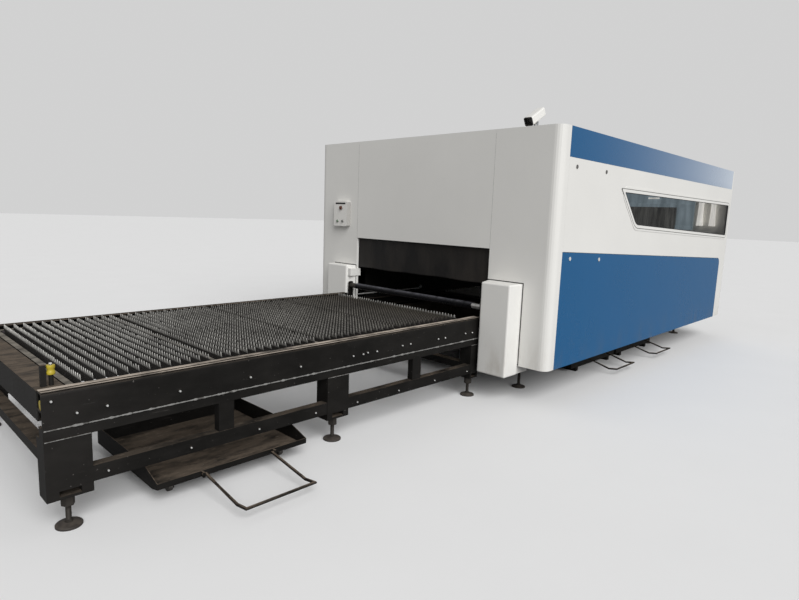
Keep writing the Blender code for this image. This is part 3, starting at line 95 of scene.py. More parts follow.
class Wire:
    """A shader socket that takes part in arithmetic by adding Math nodes."""

    def __init__(self, graph: "Graph", socket: bpy.types.NodeSocket) -> None:
        """Wraps one output socket of a graph."""
        self.graph = graph
        self.socket = socket

    def _maths(self, operation: str, left: "Wire | float", right: "Wire | float" = 0.0) -> "Wire":
        """One Math node.

        Args:
            operation: the node's operation.
            left: first value.
            right: second value.

        Returns:
            The node's result.
        """
        return self.graph.node("ShaderNodeMath", {"operation": operation}, {0: left, 1: right})

    def __add__(self, other: "Wire | float") -> "Wire":
        """Sum of two values."""
        return self._maths("ADD", self, other)

    __radd__ = __add__

    def __sub__(self, other: "Wire | float") -> "Wire":
        """Difference of two values."""
        return self._maths("SUBTRACT", self, other)

    def __rsub__(self, other: float) -> "Wire":
        """A number less this value."""
        return self._maths("SUBTRACT", other, self)

    def __mul__(self, other: "Wire | float") -> "Wire":
        """Product of two values."""
        return self._maths("MULTIPLY", self, other)

    __rmul__ = __mul__

    def __pow__(self, other: float) -> "Wire":
        """This value raised to a power."""
        return self._maths("POWER", self, other)

    def __abs__(self) -> "Wire":
        """The size of this value without its sign."""
        return self._maths("ABSOLUTE", self)

    def above(self, limit: float) -> "Wire":
        """One where this value is over the limit, otherwise zero."""
        return self._maths("GREATER_THAN", self, limit)

    def between(self, low: float, high: float) -> "Wire":
        """This value mapped from low and high to 0 and 1 and held there."""
        return self.graph.node("ShaderNodeMapRange", {"clamp": True}, {0: self, 1: low, 2: high})


class Graph:
    """A node tree in the making, of a material or of the world."""

    def __init__(self, tree: bpy.types.NodeTree) -> None:
        """Takes the tree."""
        self.tree = tree

    def node(self, kind: str, settings: dict | None = None, values: dict | None = None,
             output: int | str = 0) -> Wire:
        """Adds one node.

        Args:
            kind: the node's type.
            settings: properties set before its sockets.
            values: numbers, vectors or wires by socket name or number.
            output: which of its outputs is wanted.

        Returns:
            The wanted output.
        """
        made = self.tree.nodes.new(kind)
        for key, value in (settings or {}).items():
            setattr(made, key, value)
        for key, value in (values or {}).items():
            if isinstance(value, Wire):
                self.tree.links.new(value.socket, made.inputs[key])
            else:
                made.inputs[key].default_value = value
        return Wire(self, made.outputs[output])

    def finish(self, output: str, shader: Wire) -> None:
        """Connects the last shader to the output node."""
        self.tree.links.new(shader.socket, self.tree.nodes[output].inputs["Surface"])


class Recipe(Graph):
    """One material in the making: its node tree and its Principled shader."""

    def __init__(self, name: str) -> None:
        """Starts an empty material of that name."""
        self.material = bpy.data.materials.new(name)
        self.material.use_nodes = True
        super().__init__(self.material.node_tree)
        self.shader = self.tree.nodes["Principled BSDF"]

    def place(self) -> Wire:
        """Where the surface is, in the row frame at rest."""
        return self.node("ShaderNodeTexCoord", output="Object")

    def axis(self, axis: Axis) -> Wire:
        """One coordinate of the surface."""
        return self.node("ShaderNodeSeparateXYZ", values={0: self.place()}, output=axis.value)

    def facing(self, axis: Axis) -> Wire:
        """How far the surface faces along an axis, from -1 to 1."""
        normal = self.node("ShaderNodeNewGeometry", output="Normal")
        return self.node("ShaderNodeSeparateXYZ", values={0: normal}, output=axis.value)

    def upward(self) -> Wire:
        """How far the surface faces up, from -1 to 1."""
        return self.facing(Axis.Z)

    def noise(self, scale: float, detail: float = 3.0, stretch: Point = (1, 1, 1), rough: float = 0.5) -> Wire:
        """Fractal noise from about 0.3 to 0.7.

        Args:
            scale: spots per metre.
            detail: number of finer layers.
            stretch: scale along X, Y and Z.
            rough: strength of the finer layers.

        Returns:
            The noise value.
        """
        spot = self.node("ShaderNodeMapping", values={"Vector": self.place(), "Scale": tuple(stretch)})
        return self.node(
            "ShaderNodeTexNoise", values={"Vector": spot, "Scale": scale, "Detail": detail, "Roughness": rough}
        )

    def blend(self, factor: Wire | float, low: Wire | Colour, high: Wire | Colour) -> Wire:
        """Mixes two colours.

        Args:
            factor: share of the second colour.
            low: first colour.
            high: second colour.

        Returns:
            The mixed colour.
        """
        sides = {0: factor}
        for key, colour in ((6, low), (7, high)):
            sides[key] = colour if isinstance(colour, Wire) else (*colour, 1.0)
        return self.node("ShaderNodeMix", {"data_type": "RGBA"}, sides, 2)

    def bump(self, height: Wire, depth: float) -> Wire:
        """A surface relief of the given depth in metres."""
        return self.node("ShaderNodeBump", values={"Height": height, "Distance": depth, "Strength": 1.0})

    def surface(self, **sockets: "Wire | float | Colour") -> bpy.types.Material:
        """Connects or sets the shader's sockets.

        Args:
            sockets: values by socket name, with _ for a space.

        Returns:
            The finished material.
        """
        for key, value in sockets.items():
            socket = self.shader.inputs[key.replace("_", " ")]
            if isinstance(value, Wire):
                self.tree.links.new(value.socket, socket)
            elif isinstance(value, tuple):
                socket.default_value = (*value, 1.0)
            else:
                socket.default_value = value
        return self.material


# Finishes


@dataclass(frozen=True)
class CoverPaint:
    """Sprayed enamel: orange peel, handling marks and dirt near the floor; where asked, a painted sheen that
    lightens it towards the rear and top, a tone for proud caps, and painted shade on faces turned to the sides.
    """

    name: str
    colour: Colour
    roughness: float = 0.32
    peel: float = 0.00012
    dirt: Colour = (0.30, 0.24, 0.16)
    dirt_top: float = 0.62
    dust: Colour = (0.40, 0.37, 0.32)
    marks: float = 0.10
    cap: Colour | None = None
    cap_floor: float = 0.0
    # Painted reflection: how far the colour is lightened towards the rear end and the top, and the tone that it
    # turns to.
    painted_sheen: float = 0.0
    haze_tone: Colour = (0.56, 0.62, 0.70)
    # Painted shade: a darker colour for faces turned along Y.
    flank: Colour | None = None

    def make(self) -> bpy.types.Material:
        """The material, ready to use."""
        mix = Recipe(self.name)
        cloud = mix.noise(1.3, 4.0)
        tone = mix.blend(cloud.between(0.3, 0.7), shaded(self.colour, 0.965), self.colour)
        height = mix.axis(Axis.Z)
        low = 1.0 - height.between(0.32, self.dirt_top)
        smears = mix.noise(6.0, 5.0, (1, 1, 0.35), 0.65).between(0.46, 0.74)
        soiled = mix.blend(low * smears * 0.34, tone, self.dirt)
        marks = mix.noise(16.0, 6.0, (1, 1, 0.6), 0.7).between(0.60, 0.78)
        worn = mix.blend(marks * self.marks, soiled, shaded(self.colour, 0.72))
        dust = mix.upward().between(0.6, 0.95) * mix.noise(9.0, 5.0).between(0.35, 0.7)
        dusty = mix.blend(dust * 0.20, worn, self.dust)
        # Painted reflection: a sheen that lightens the colour towards the rear end and the top.
        if self.painted_sheen > 0:
            film = mix.axis(Axis.X).between(-0.9, 4.4) ** 2.0 * height.between(1.3, 2.2) * self.painted_sheen
            dusty = mix.blend(film, dusty, self.haze_tone)
        # Proud caps get their own tone; on the white enamel that tone is dark grey as painted shadow.
        if self.cap:
            proud = abs(mix.axis(Axis.Y)).above(DATUM.wall + 0.0005) * height.above(self.cap_floor)
            dusty = mix.blend(proud, dusty, self.cap)
        # Painted shade: faces turned along Y are darkened.
        if self.flank:
            dusty = mix.blend(abs(mix.facing(Axis.Y)).above(0.8), dusty, self.flank)
        peel = mix.noise(420.0, 2.0)
        gloss = cloud * 0.10 + (self.roughness - 0.05) + marks * 0.12 + dust * 0.2
        wavy = mix.noise(2.2, 2.0, (1, 1, 0.6)) * 3.0 + peel * 0.25
        return mix.surface(
            Base_Color=dusty, Roughness=gloss, Normal=mix.bump(wavy, self.peel * 4), Specular_IOR_Level=0.4
        )


@dataclass(frozen=True)
class FramePaint:
    """Black paint on welded steel: dust on what faces up, left off beyond a half width where asked so the outer top
    stays black as painted shade, scuffs, chips and small spots.
    """

    name: str
    colour: Colour = (0.0046, 0.0042, 0.0037)
    dust: Colour = (0.125, 0.098, 0.074)
    dusty: float = 0.85
    roughness: float = 0.46
    lint: float = 1.9
    # Beyond this distance from the middle no dust is laid, so the outer top stays black as painted shade in the gap
    # beside it.
    dust_half: float = 10.0
    bloom: Colour = (0.070, 0.064, 0.060)
    scuff: Colour = (0.20, 0.19, 0.18)
    chip: Colour = (0.33, 0.31, 0.29)

    def make(self) -> bpy.types.Material:
        """The material, ready to use."""
        mix = Recipe(self.name)
        cloud = mix.noise(3.0, 5.0)
        tone = mix.blend(cloud.between(0.35, 0.7), self.colour, shaded(self.colour, 1.9))
        film = mix.noise(11.0, 6.0, (0.5, 1, 1), 0.6)
        outer = 1.0 - mix.axis(Axis.X).between(-4.22, -3.75)
        grey = mix.blend(film.between(0.42, 0.8) * 0.10 + outer * 0.10, tone, self.bloom)
        # Dust on what faces up, left off beyond a half width as painted shade.
        up = mix.upward().between(0.35, 0.9) * (1.0 - abs(mix.axis(Axis.Y)).above(self.dust_half))
        patchy = mix.noise(14.0, 6.0, (0.35, 1, 1), 0.62).between(0.30, 0.56)
        settled = mix.blend(up * patchy * self.dusty, grey, self.dust)
        lint = mix.noise(95.0, 3.0, (0.2, 1, 1)).between(0.60, 0.72)
        lined = mix.blend(lint * up * 0.5, settled, shaded(self.dust, self.lint))
        scuffs = mix.noise(26.0, 5.0, (0.18, 1, 2.4), 0.7).between(0.66, 0.74)
        scuffed = mix.blend(scuffs * 0.16, lined, self.scuff)
        chips = mix.noise(70.0, 2.0).between(0.735, 0.76)
        chipped = mix.blend(chips * 0.30, scuffed, self.chip)
        gloss = self.roughness + up * patchy * 0.4 + film * 0.16 - scuffs * 0.08
        skin = mix.noise(260.0, 3.0) * 0.6 + mix.noise(5.0, 2.0) * 2.0
        return mix.surface(
            Base_Color=chipped, Roughness=gloss, Specular_IOR_Level=0.16, Normal=mix.bump(skin, 0.0004)
        )


@dataclass(frozen=True)
class BareSteel:
    """Bare steel, from dull rolled sheet to bright turned stock."""

    name: str
    colour: Colour = (0.42, 0.41, 0.39)
    stain: Colour = (0.10, 0.085, 0.070)
    stained: float = 0.5
    roughness: float = 0.34
    metallic: float = 1.0
    grain: Point = (1, 1, 1)

    def make(self) -> bpy.types.Material:
        """The material, ready to use."""
        mix = Recipe(self.name)
        cloud = mix.noise(9.0, 5.0, (1, 1, 1), 0.6)
        spots = mix.noise(60.0, 4.0).between(0.45, 0.75)
        tone = mix.blend(cloud.between(0.4, 0.75) * self.stained, self.colour, self.stain)
        spotted = mix.blend(spots * self.stained * 0.5, tone, shaded(self.stain, 1.3))
        brush = mix.noise(300.0, 3.0, self.grain)
        gloss = brush * 0.16 + (self.roughness - 0.06) + cloud * 0.12
        return mix.surface(
            Base_Color=spotted, Roughness=gloss, Metallic=self.metallic, Normal=mix.bump(brush, 0.00012)
        )


@dataclass(frozen=True)
class SlatSteel:
    """Laser-cut slat sheet: pale cut tips, darker scale and dust lower down, and tips darkened towards the inner end
    as painted shade, except on the last slats.
    """

    name: str
    tip: Colour = (0.88, 0.87, 0.82)
    body: Colour = (0.016, 0.014, 0.012)
    # Painted shade: the tip colour towards the inner end.
    burnt: Colour = (0.135, 0.118, 0.094)
    heat: Colour = (0.13, 0.10, 0.12)
    tip_z: float = 0.738
    root_z: float = 0.712
    # Where the painted shade on the tips starts and is full, and past which the last slats stay pale.
    clean_x: float = -4.1
    burnt_x: float = -1.2
    last_x: float = -1.06

    def make(self) -> bpy.types.Material:
        """The material, ready to use."""
        mix = Recipe(self.name)
        height = mix.axis(Axis.Z)
        rise = height.between(self.root_z, self.tip_z)
        patch = mix.noise(2.4, 4.0).between(0.34, 0.7)
        speck = mix.noise(120.0, 4.0, (1, 1, 0.5)).between(0.35, 0.68)
        share = rise ** 0.9 * (0.6 + patch * 0.4) * (0.6 + speck * 0.4)
        along = mix.axis(Axis.X)
        # Painted shade: tips darken towards the inner end, where they shade one another seen from low; the last
        # slats stay pale.
        tip_shade = along.between(self.clean_x, self.burnt_x) * (1.0 - along.above(self.last_x))
        tone = mix.blend(share, self.body, mix.blend(tip_shade, self.tip, self.burnt))
        heat = mix.noise(34.0, 3.0).between(0.60, 0.72)
        tinted = mix.blend(heat * 0.35, tone, self.heat)
        gloss = 0.58 - share * 0.18 + speck * 0.12
        return mix.surface(
            Base_Color=tinted, Roughness=gloss, Metallic=0.1, Normal=mix.bump(mix.noise(330.0, 3.0), 0.00015)
        )


@dataclass(frozen=True)
class Moulded:
    """Plastic or rubber with a fine skin and a little dust."""

    name: str
    colour: Colour
    roughness: float = 0.45
    dust: Colour = (0.25, 0.22, 0.18)
    dusty: float = 0.35
    skin: float = 0.00012

    def make(self) -> bpy.types.Material:
        """The material, ready to use."""
        mix = Recipe(self.name)
        cloud = mix.noise(24.0, 4.0)
        tone = mix.blend(cloud.between(0.35, 0.7), shaded(self.colour, 0.86), self.colour)
        up = mix.upward().between(0.3, 0.9) * cloud.between(0.35, 0.6)
        dusted = mix.blend(up * self.dusty, tone, self.dust)
        gloss = cloud * 0.12 + (self.roughness - 0.05) + up * self.dusty * 0.3
        return mix.surface(Base_Color=dusted, Roughness=gloss, Normal=mix.bump(mix.noise(600.0, 2.0), self.skin))


@dataclass(frozen=True)
class CurtainCloth:
    """Black coated cloth, creased, with paler rubs along its creases."""

    name: str
    colour: Colour = (0.010, 0.0095, 0.0095)
    rub: Colour = (0.036, 0.031, 0.027)
    dust: Colour = (0.044, 0.037, 0.030)

    def make(self) -> bpy.types.Material:
        """The material, ready to use."""
        mix = Recipe(self.name)
        creases = mix.noise(5.0, 3.0, (1, 1, 0.3), 0.5)
        rubbed = mix.blend(creases.between(0.42, 0.62) * 0.45, self.colour, self.rub)
        dust = mix.noise(2.2, 3.0, (1, 1, 0.6)).between(0.45, 0.75)
        dusted = mix.blend(dust * 0.35, rubbed, self.dust)
        weave = mix.noise(900.0, 1.0)
        relief = creases * 3.0 + weave * 0.1
        return mix.surface(
            Base_Color=dusted, Roughness=0.50 + dust * 0.25, Specular_IOR_Level=0.25,
            Normal=mix.bump(relief, 0.004)
        )


@dataclass(frozen=True)
class TintedPane:
    """Dark laser-safe window sheet."""

    name: str
    colour: Colour = (0.008, 0.009, 0.009)
    alpha: float = 0.26

    def make(self) -> bpy.types.Material:
        """The material, ready to use."""
        mix = Recipe(self.name)
        film = mix.noise(5.0, 5.0, (1, 1, 0.5)).between(0.4, 0.8)
        tone = mix.blend(film, self.colour, shaded(self.colour, 1.6))
        wave = mix.noise(3.0, 2.0)
        return mix.surface(
            Base_Color=tone, Roughness=0.03 + film * 0.05, Alpha=self.alpha, Specular_IOR_Level=0.14,
            Normal=mix.bump(wave, 0.0012)
        )


@dataclass(frozen=True)
class CabinLining:
    """A lining behind the window, streaked from top to bottom, that glows with its own colour as painted light
    standing in for the light in the cabin.
    """

    name: str
    colour: Colour
    shade: Colour
    streaks: float = 7.0

    def make(self) -> bpy.types.Material:
        """The material, ready to use."""
        mix = Recipe(self.name)
        streak = mix.noise(self.streaks, 4.0, (1, 1, 0.12), 0.6).between(0.38, 0.64)
        patch = mix.noise(5.0, 5.0).between(0.35, 0.7)
        tone = mix.blend(streak * 0.75 + patch * 0.25, self.shade, self.colour)
        # Painted light: the lining glows with its own colour though it is no lamp.
        return mix.surface(
            Base_Color=tone, Emission_Color=tone, Emission_Strength=1.0, Roughness=0.6 + patch * 0.2,
            Normal=mix.bump(streak, 0.002)
        )


@dataclass(frozen=True)
class WeldMetal:
    """A weld seam that was painted over, with bare silver where it was brushed."""

    name: str
    bare: Colour = (0.42, 0.415, 0.40)
    painted: Colour = (0.090, 0.086, 0.080)

    def make(self) -> bpy.types.Material:
        """The material, ready to use."""
        mix = Recipe(self.name)
        patch = mix.noise(21.0, 5.0, (1, 1, 1), 0.65).between(0.36, 0.52)
        tone = mix.blend(patch, self.painted, self.bare)
        ripple = mix.noise(240.0, 3.0, (1.0, 0.4, 0.4))
        return mix.surface(
            Base_Color=tone, Roughness=0.55 - patch * 0.2, Metallic=patch * 0.6, Normal=mix.bump(ripple, 0.0008)
        )


class Finish(Enum):
    """Every finish on the machine."""

    # The white enamel's proud caps are painted dark grey as painted shadow.
    WHITE = CoverPaint("white enamel", (0.775, 0.765, 0.735), cap=(0.11, 0.105, 0.10), cap_floor=2.0)
    # The control box's sides are darkened as painted shade.
    BOX = CoverPaint("box enamel", (0.80, 0.785, 0.75), flank=(0.40, 0.39, 0.37))
    # The blue enamel is lightened towards the rear end as a painted reflection.
    BLUE = CoverPaint("blue enamel", (0.0055, 0.094, 0.240), 0.28, dirt=(0.10, 0.11, 0.12), marks=0.18,
                      cap=(0.60, 0.60, 0.58), painted_sheen=1.0)
    BLACK = FramePaint("black frame paint")
    INNER_BLACK = FramePaint("black inner paint", dusty=0.45)
    DUSTY = FramePaint("worn rail paint", dust=(0.47, 0.405, 0.34), dusty=0.95, lint=1.25)
    # The pallet tubes' outer tops stay black as painted shade in the gap by the rail.
    PALLET = FramePaint("pallet paint", dust=(0.22, 0.20, 0.17), dusty=0.95, lint=1.25, dust_half=0.842)
    BLACKENED = BareSteel("blackened steel", (0.050, 0.044, 0.038), (0.028, 0.024, 0.020), 0.5, 0.5, 0.5)
    PAD = Moulded("foot pad rubber", (0.036, 0.030, 0.026), 0.6, (0.09, 0.075, 0.06), 0.5)
    # The shaft's pale blue-grey on what faces up is dust and also a painted highlight along its top.
    SHAFT = FramePaint("black shaft enamel", (0.003, 0.003, 0.004), dust=(0.16, 0.16, 0.18), dusty=0.42,
                       roughness=0.20)
    GREY = CoverPaint("grey machine enamel", (0.26, 0.27, 0.28), 0.42)
    SLAT = SlatSteel("slat steel")
    LOWER_SLAT = SlatSteel("lower slat steel", tip_z=0.656, root_z=0.623)
    ZINC = BareSteel("zinc fasteners", (0.86, 0.86, 0.84), stained=0.12, roughness=0.34, metallic=0.7)
    DULL = BareSteel("dull steel", (0.20, 0.19, 0.18), roughness=0.46)
    BRIGHT = BareSteel("bright steel", (0.66, 0.65, 0.63), stained=0.2, roughness=0.24, grain=(0.1, 1, 1))
    WELD = WeldMetal("weld seam")
    YELLOW = Moulded("yellow polyurethane", (0.46, 0.36, 0.030), 0.36, (0.20, 0.17, 0.08), 0.2)
    RED = Moulded("red stop button", (0.095, 0.026, 0.012), 0.34, dusty=0.05)
    GREEN = Moulded("green push button", (0.15, 0.22, 0.15), 0.34, dusty=0.1)
    BLACK_PLASTIC = Moulded("black plastic", (0.014, 0.014, 0.014), 0.42, dusty=0.2)
    SEAL = Moulded("grey window seal", (0.17, 0.17, 0.16), 0.55, dusty=0.0)
    GAP = Moulded("shadow gap sealant", (0.020, 0.020, 0.022), 0.7, dusty=0.1)
    CURTAIN = CurtainCloth("curtain cloth")
    PANE = TintedPane("tinted window sheet")
    # The lining, the screen and the duct covers glow as painted light; only the cabin lamp is a lamp.
    LINING = CabinLining("pale cabin lining", (0.22, 0.275, 0.31), (0.11, 0.145, 0.165), 9.0)
    SCREEN = CabinLining("dark cabin screen", (0.075, 0.075, 0.070), (0.006, 0.006, 0.006), 16.0)
    DUCT = CabinLining("pale duct cover", (0.95, 0.93, 0.88), (0.62, 0.60, 0.56), 12.0)

    def material(self) -> bpy.types.Material:
        """The finish's material, made once."""
        return bpy.data.materials.get(self.value.name) or self.value.make()


# Meshes


def rounded(points: Sequence[tuple[float, float]], radii: Sequence[float], steps: int = 6) -> Outline:
    """Rounds the corners of an outline.

    Args:
        points: the corners in order.
        radii: a radius for each corner.
        steps: segments in each rounded corner.

    Returns:
        The outline's points.
    """
    count = len(points)
    outline: Outline = []
    for index, corner in enumerate(points):
        here = Vector(corner)
        before = (Vector(points[index - 1]) - here).normalized()
        after = (Vector(points[(index + 1) % count]) - here).normalized()
        radius = radii[index]
        if radius <= 0:
            outline.append((here.x, here.y))
            continue
        half = before.angle(after) / 2
        reach = radius / math.tan(half)
        centre = here + (before + after).normalized() * (radius / math.sin(half))
        start = here + before * reach - centre
        end = here + after * reach - centre
        turn = math.atan2(start.x * end.y - start.y * end.x, start.dot(end))
        for step in range(steps + 1):
            arm = Matrix.Rotation(turn * step / steps, 2) @ start
            outline.append((centre.x + arm.x, centre.y + arm.y))
    return outline


def grown(outline: Outline, distance: float) -> Outline:
    """Moves every side of an anticlockwise outline outwards.

    Args:
        outline: the outline's points.
        distance: how far, negative for inwards.

    Returns:
        The new outline with as many points.
    """
    count = len(outline)
    result: Outline = []
    for index, corner in enumerate(outline):
        here = Vector(corner)
        before = (here - Vector(outline[index - 1])).normalized()
        after = (Vector(outline[(index + 1) % count]) - here).normalized()
        normal = Vector((before.y + after.y, -before.x - after.x))
        length = normal.length
        if length < 1e-6:
            result.append((here.x, here.y))
            continue
        normal /= length
        scale = max(0.3, normal.dot(Vector((after.y, -after.x))))
        result.append((here.x + normal.x * distance / scale, here.y + normal.y * distance / scale))
    return result


@dataclass
class Mould:
    """Corner points and faces of one piece, in the row frame."""

    points: list[Vector] = field(default_factory=list)
    faces: list[tuple[int, ...]] = field(default_factory=list)

    def _add(self, points: Sequence[Point], faces: Sequence[Sequence[int]]) -> "Mould":
        """Adds a closed set of points and faces."""
        start = len(self.points)
        self.points += [Vector(p) for p in points]
        self.faces += [tuple(start + i for i in face) for face in faces]
        return self

    def bar(self, low: Point, high: Point) -> "Mould":
        """Adds a straight block between two corners."""
        (a, b, c), (d, e, f) = low, high
        corners = [(a, b, c), (d, b, c), (d, e, c), (a, e, c), (a, b, f), (d, b, f), (d, e, f), (a, e, f)]
        sides = [(3, 2, 1, 0), (4, 5, 6, 7), (0, 1, 5, 4), (1, 2, 6, 5), (2, 3, 7, 6), (3, 0, 4, 7)]
        return self._add(corners, sides)

    @staticmethod
    def _lift(axis: Axis, pair: tuple[float, float], along: float) -> Vector:
        """A point of an outline drawn across an axis."""
        spot = list(pair)
        spot.insert(axis.value, along)
        return Vector(spot)

    def drawn(self, axis: Axis, outline: Outline, low: float, high: float) -> "Mould":
        """Draws an outline out into a solid.

        Args:
            axis: the direction; the outline gives the other two coordinates in order.
            outline: points round the section.
            low: start along the axis.
            high: end along the axis.

        Returns:
            This mould.
        """
        count = len(outline)
        points = [self._lift(axis, p, low) for p in outline] + [self._lift(axis, p, high) for p in outline]
        faces: list[tuple[int, ...]] = [tuple(reversed(range(count))), tuple(range(count, 2 * count))]
        faces += [(i, (i + 1) % count, count + (i + 1) % count, count + i) for i in range(count)]
        return self._add(points, faces)

    def collar(self, axis: Axis, outer: Outline, inner: Outline, low: float, high: float) -> "Mould":
        """A frame between two outlines with as many points.

        Args:
            axis: the direction that it is drawn out along.
            outer: outer outline.
            inner: inner outline.
            low: start along the axis.
            high: end along the axis.

        Returns:
            This mould.
        """
        count = len(outer)
        rings = [(outer, low), (outer, high), (inner, high), (inner, low)]
        points = [self._lift(axis, p, along) for ring, along in rings for p in ring]
        faces = []
        for ring in range(4):
            a, b = ring * count, (ring + 1) % 4 * count
            faces += [(a + i, a + (i + 1) % count, b + (i + 1) % count, b + i) for i in range(count)]
        return self._add(points, faces)

    def turned(self, origin: Point, direction: Point, profile: Profile, sides: int = 24) -> "Mould":
        """Turns a profile round an axis.

        Args:
            origin: where the profile's distances start.
            direction: the axis.
            profile: distance along the axis and radius of each ring; a radius of 0 closes an end.
            sides: number of sides.

        Returns:
            This mould.
        """
        spin = Vector(direction).normalized().to_track_quat("Z", "Y").to_matrix()
        base = Vector(origin)
        points: list[Vector] = []
        rings: list[list[int]] = []
        for along, radius in profile:
            if radius <= 0:
                rings.append([len(points)] * sides)
                points.append(base + spin @ Vector((0, 0, along)))
                continue
            rings.append(list(range(len(points), len(points) + sides)))
            for step in range(sides):
                angle = math.tau * step / sides
                points.append(base + spin @ Vector((radius * math.cos(angle), radius * math.sin(angle), along)))
        faces: list[tuple[int, ...]] = []
        for lower, upper in zip(rings, rings[1:]):
            for step in range(sides):
                after = (step + 1) % sides
                corners = (lower[step], lower[after], upper[after], upper[step])
                faces.append(tuple(dict.fromkeys(corners)))
        return self._add(points, [f for f in faces if len(f) > 2])

    def hexagon(self, origin: Point, direction: Point, across: float, height: float) -> "Mould":
        """A hexagon head or nut with a chamfered top.

        Args:
            origin: middle of its seat.
            direction: the way that its top faces.
            across: width across flats.
            height: height over the seat.

        Returns:
            This mould.
        """
        corner = across / math.sqrt(3)
        profile = [(0, 0), (0, corner), (height * 0.86, corner), (height, across * 0.46), (height, 0)]
        return self.turned(origin, direction, profile, 6)

    def bolt(self, origin: Point, direction: Point, size: float) -> "Mould":
        """A hexagon bolt head on its washer.

        Args:
            origin: where its washer lies on the work.
            direction: the way that its head faces.
            size: thread diameter.

        Returns:
            This mould.
        """
        out = Vector(direction).normalized()
        washer = size * DATUM.washer_share
        self.turned(origin, direction, [(0, 0), (0, size * 1.05), (washer, size * 1.0), (washer, 0)], 20)
        return self.hexagon(Vector(origin) + out * washer, direction, size * 1.55, size * 0.62)

    def swept(self, path: Sequence[Point], radii: float | Sequence[float], sides: int = 8) -> "Mould":
        """A round bar along a path.

        Args:
            path: points along its middle.
            radii: one radius, or one for each point.
            sides: number of sides.

        Returns:
            This mould.
        """
        spots = [Vector(p) for p in path]
        count = len(spots)
        sizes = [radii] * count if isinstance(radii, (int, float)) else list(radii)
        points: list[Vector] = []
        previous = Vector((0, 0, 1))
        for index, spot in enumerate(spots):
            ahead = spots[min(index + 1, count - 1)] - spots[max(index - 1, 0)]
            ahead.normalize()
            side = previous - ahead * previous.dot(ahead)
            if side.length < 1e-4:
                side = Vector((1, 0, 0)) - ahead * ahead.x
            side.normalize()
            previous = side
            across = ahead.cross(side)
            for step in range(sides):
                angle = math.tau * step / sides
                points.append(spot + (side * math.cos(angle) + across * math.sin(angle)) * sizes[index])
        faces: list[tuple[int, ...]] = []
        for index in range(count - 1):
            a, b = index * sides, (index + 1) * sides
            faces += [(a + i, a + (i + 1) % sides, b + (i + 1) % sides, b + i) for i in range(sides)]
        faces.append(tuple(reversed(range(sides))))
        faces.append(tuple(range((count - 1) * sides, count * sides)))
        return self._add(points, faces)

    def piece(self, name: str, finish: Finish, body: str = MACHINE, slot: str | None = None, edge: float = 0.0,
              smooth: float = 35.0) -> bpy.types.Object:
        """Makes the piece and lets it ride.

        Args:
            name: the piece's name.
            finish: its finish.
            body: the CAD body that it moves with.
            slot: not used.
            edge: width of its broken edges.
            smooth: angle in degrees under which its edges look smooth.

        Returns:
            The piece.
        """
        mesh = bpy.data.meshes.new(name)
        mesh.from_pydata(self.points, [], self.faces)
        work = bmesh.new()
        work.from_mesh(mesh)
        bmesh.ops.remove_doubles(work, verts=work.verts[:], dist=1e-6)
        bmesh.ops.recalc_face_normals(work, faces=work.faces[:])
        work.to_mesh(mesh)
        work.free()
        mesh.shade_smooth()
        mesh.set_sharp_from_angle(angle=math.radians(smooth))
        item = bpy.data.objects.new(name, mesh)
        bpy.context.scene.collection.objects.link(item)
        item.data.materials.append(finish.material())
        if edge > 0:
            break_edges(item, edge)
        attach(item, body)
        log.info("%s: %d faces", name, len(self.faces))
        return item


def repaint(finish: Finish, *nodes: str, edge: float = 0.0) -> None:
    """Gives CAD nodes a finish and, where asked, broken edges.

    Args:
        finish: the finish.
        nodes: names of the CAD nodes.
        edge: width of the broken edges.
    """
    for name in nodes:
        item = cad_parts[name]
        if not item.material_slots:
            item.data.materials.append(None)
        for place in item.material_slots:
            place.material = finish.material()
        if edge > 0:
            break_edges(item, edge, 40.0)
        log.info("%s: %s", name, finish.value.name)


def break_edges(item: bpy.types.Object, width: float, angle: float = 30.0) -> None:
    """Breaks the sharp edges of an object.

    Args:
        item: the object.
        width: how far the edges are cut back.
        angle: the least angle of an edge that is broken, in degrees.
    """
    broken = item.modifiers.new("broken edges", "BEVEL")
    broken.width = width
    broken.segments = 2
    broken.limit_method = "ANGLE"
    broken.angle_limit = math.radians(angle)
    broken.harden_normals = True


# Sub-assemblies


@dataclass(frozen=True)
class Datum:
    """Main lines of the machine that several sub-assemblies share."""

    table_x: float = -4.284
    table_end: float = -0.853
    face: float = -0.712
    table_half: float = 0.939
    table_top: float = 0.720
    upper_rail: float = 0.630
    pallet_shift: tuple[float, float] = (4.850, -0.089)
    opening_half: float = 0.897
    opening_top: float = 1.330
    wall: float = 1.542
    roof: float = 2.371
    skirt: float = 0.319
    wheel_radius: float = 0.028
    play: float = 0.0003
    washer_share: float = 0.18
    seed: int = 7


DATUM = Datum()


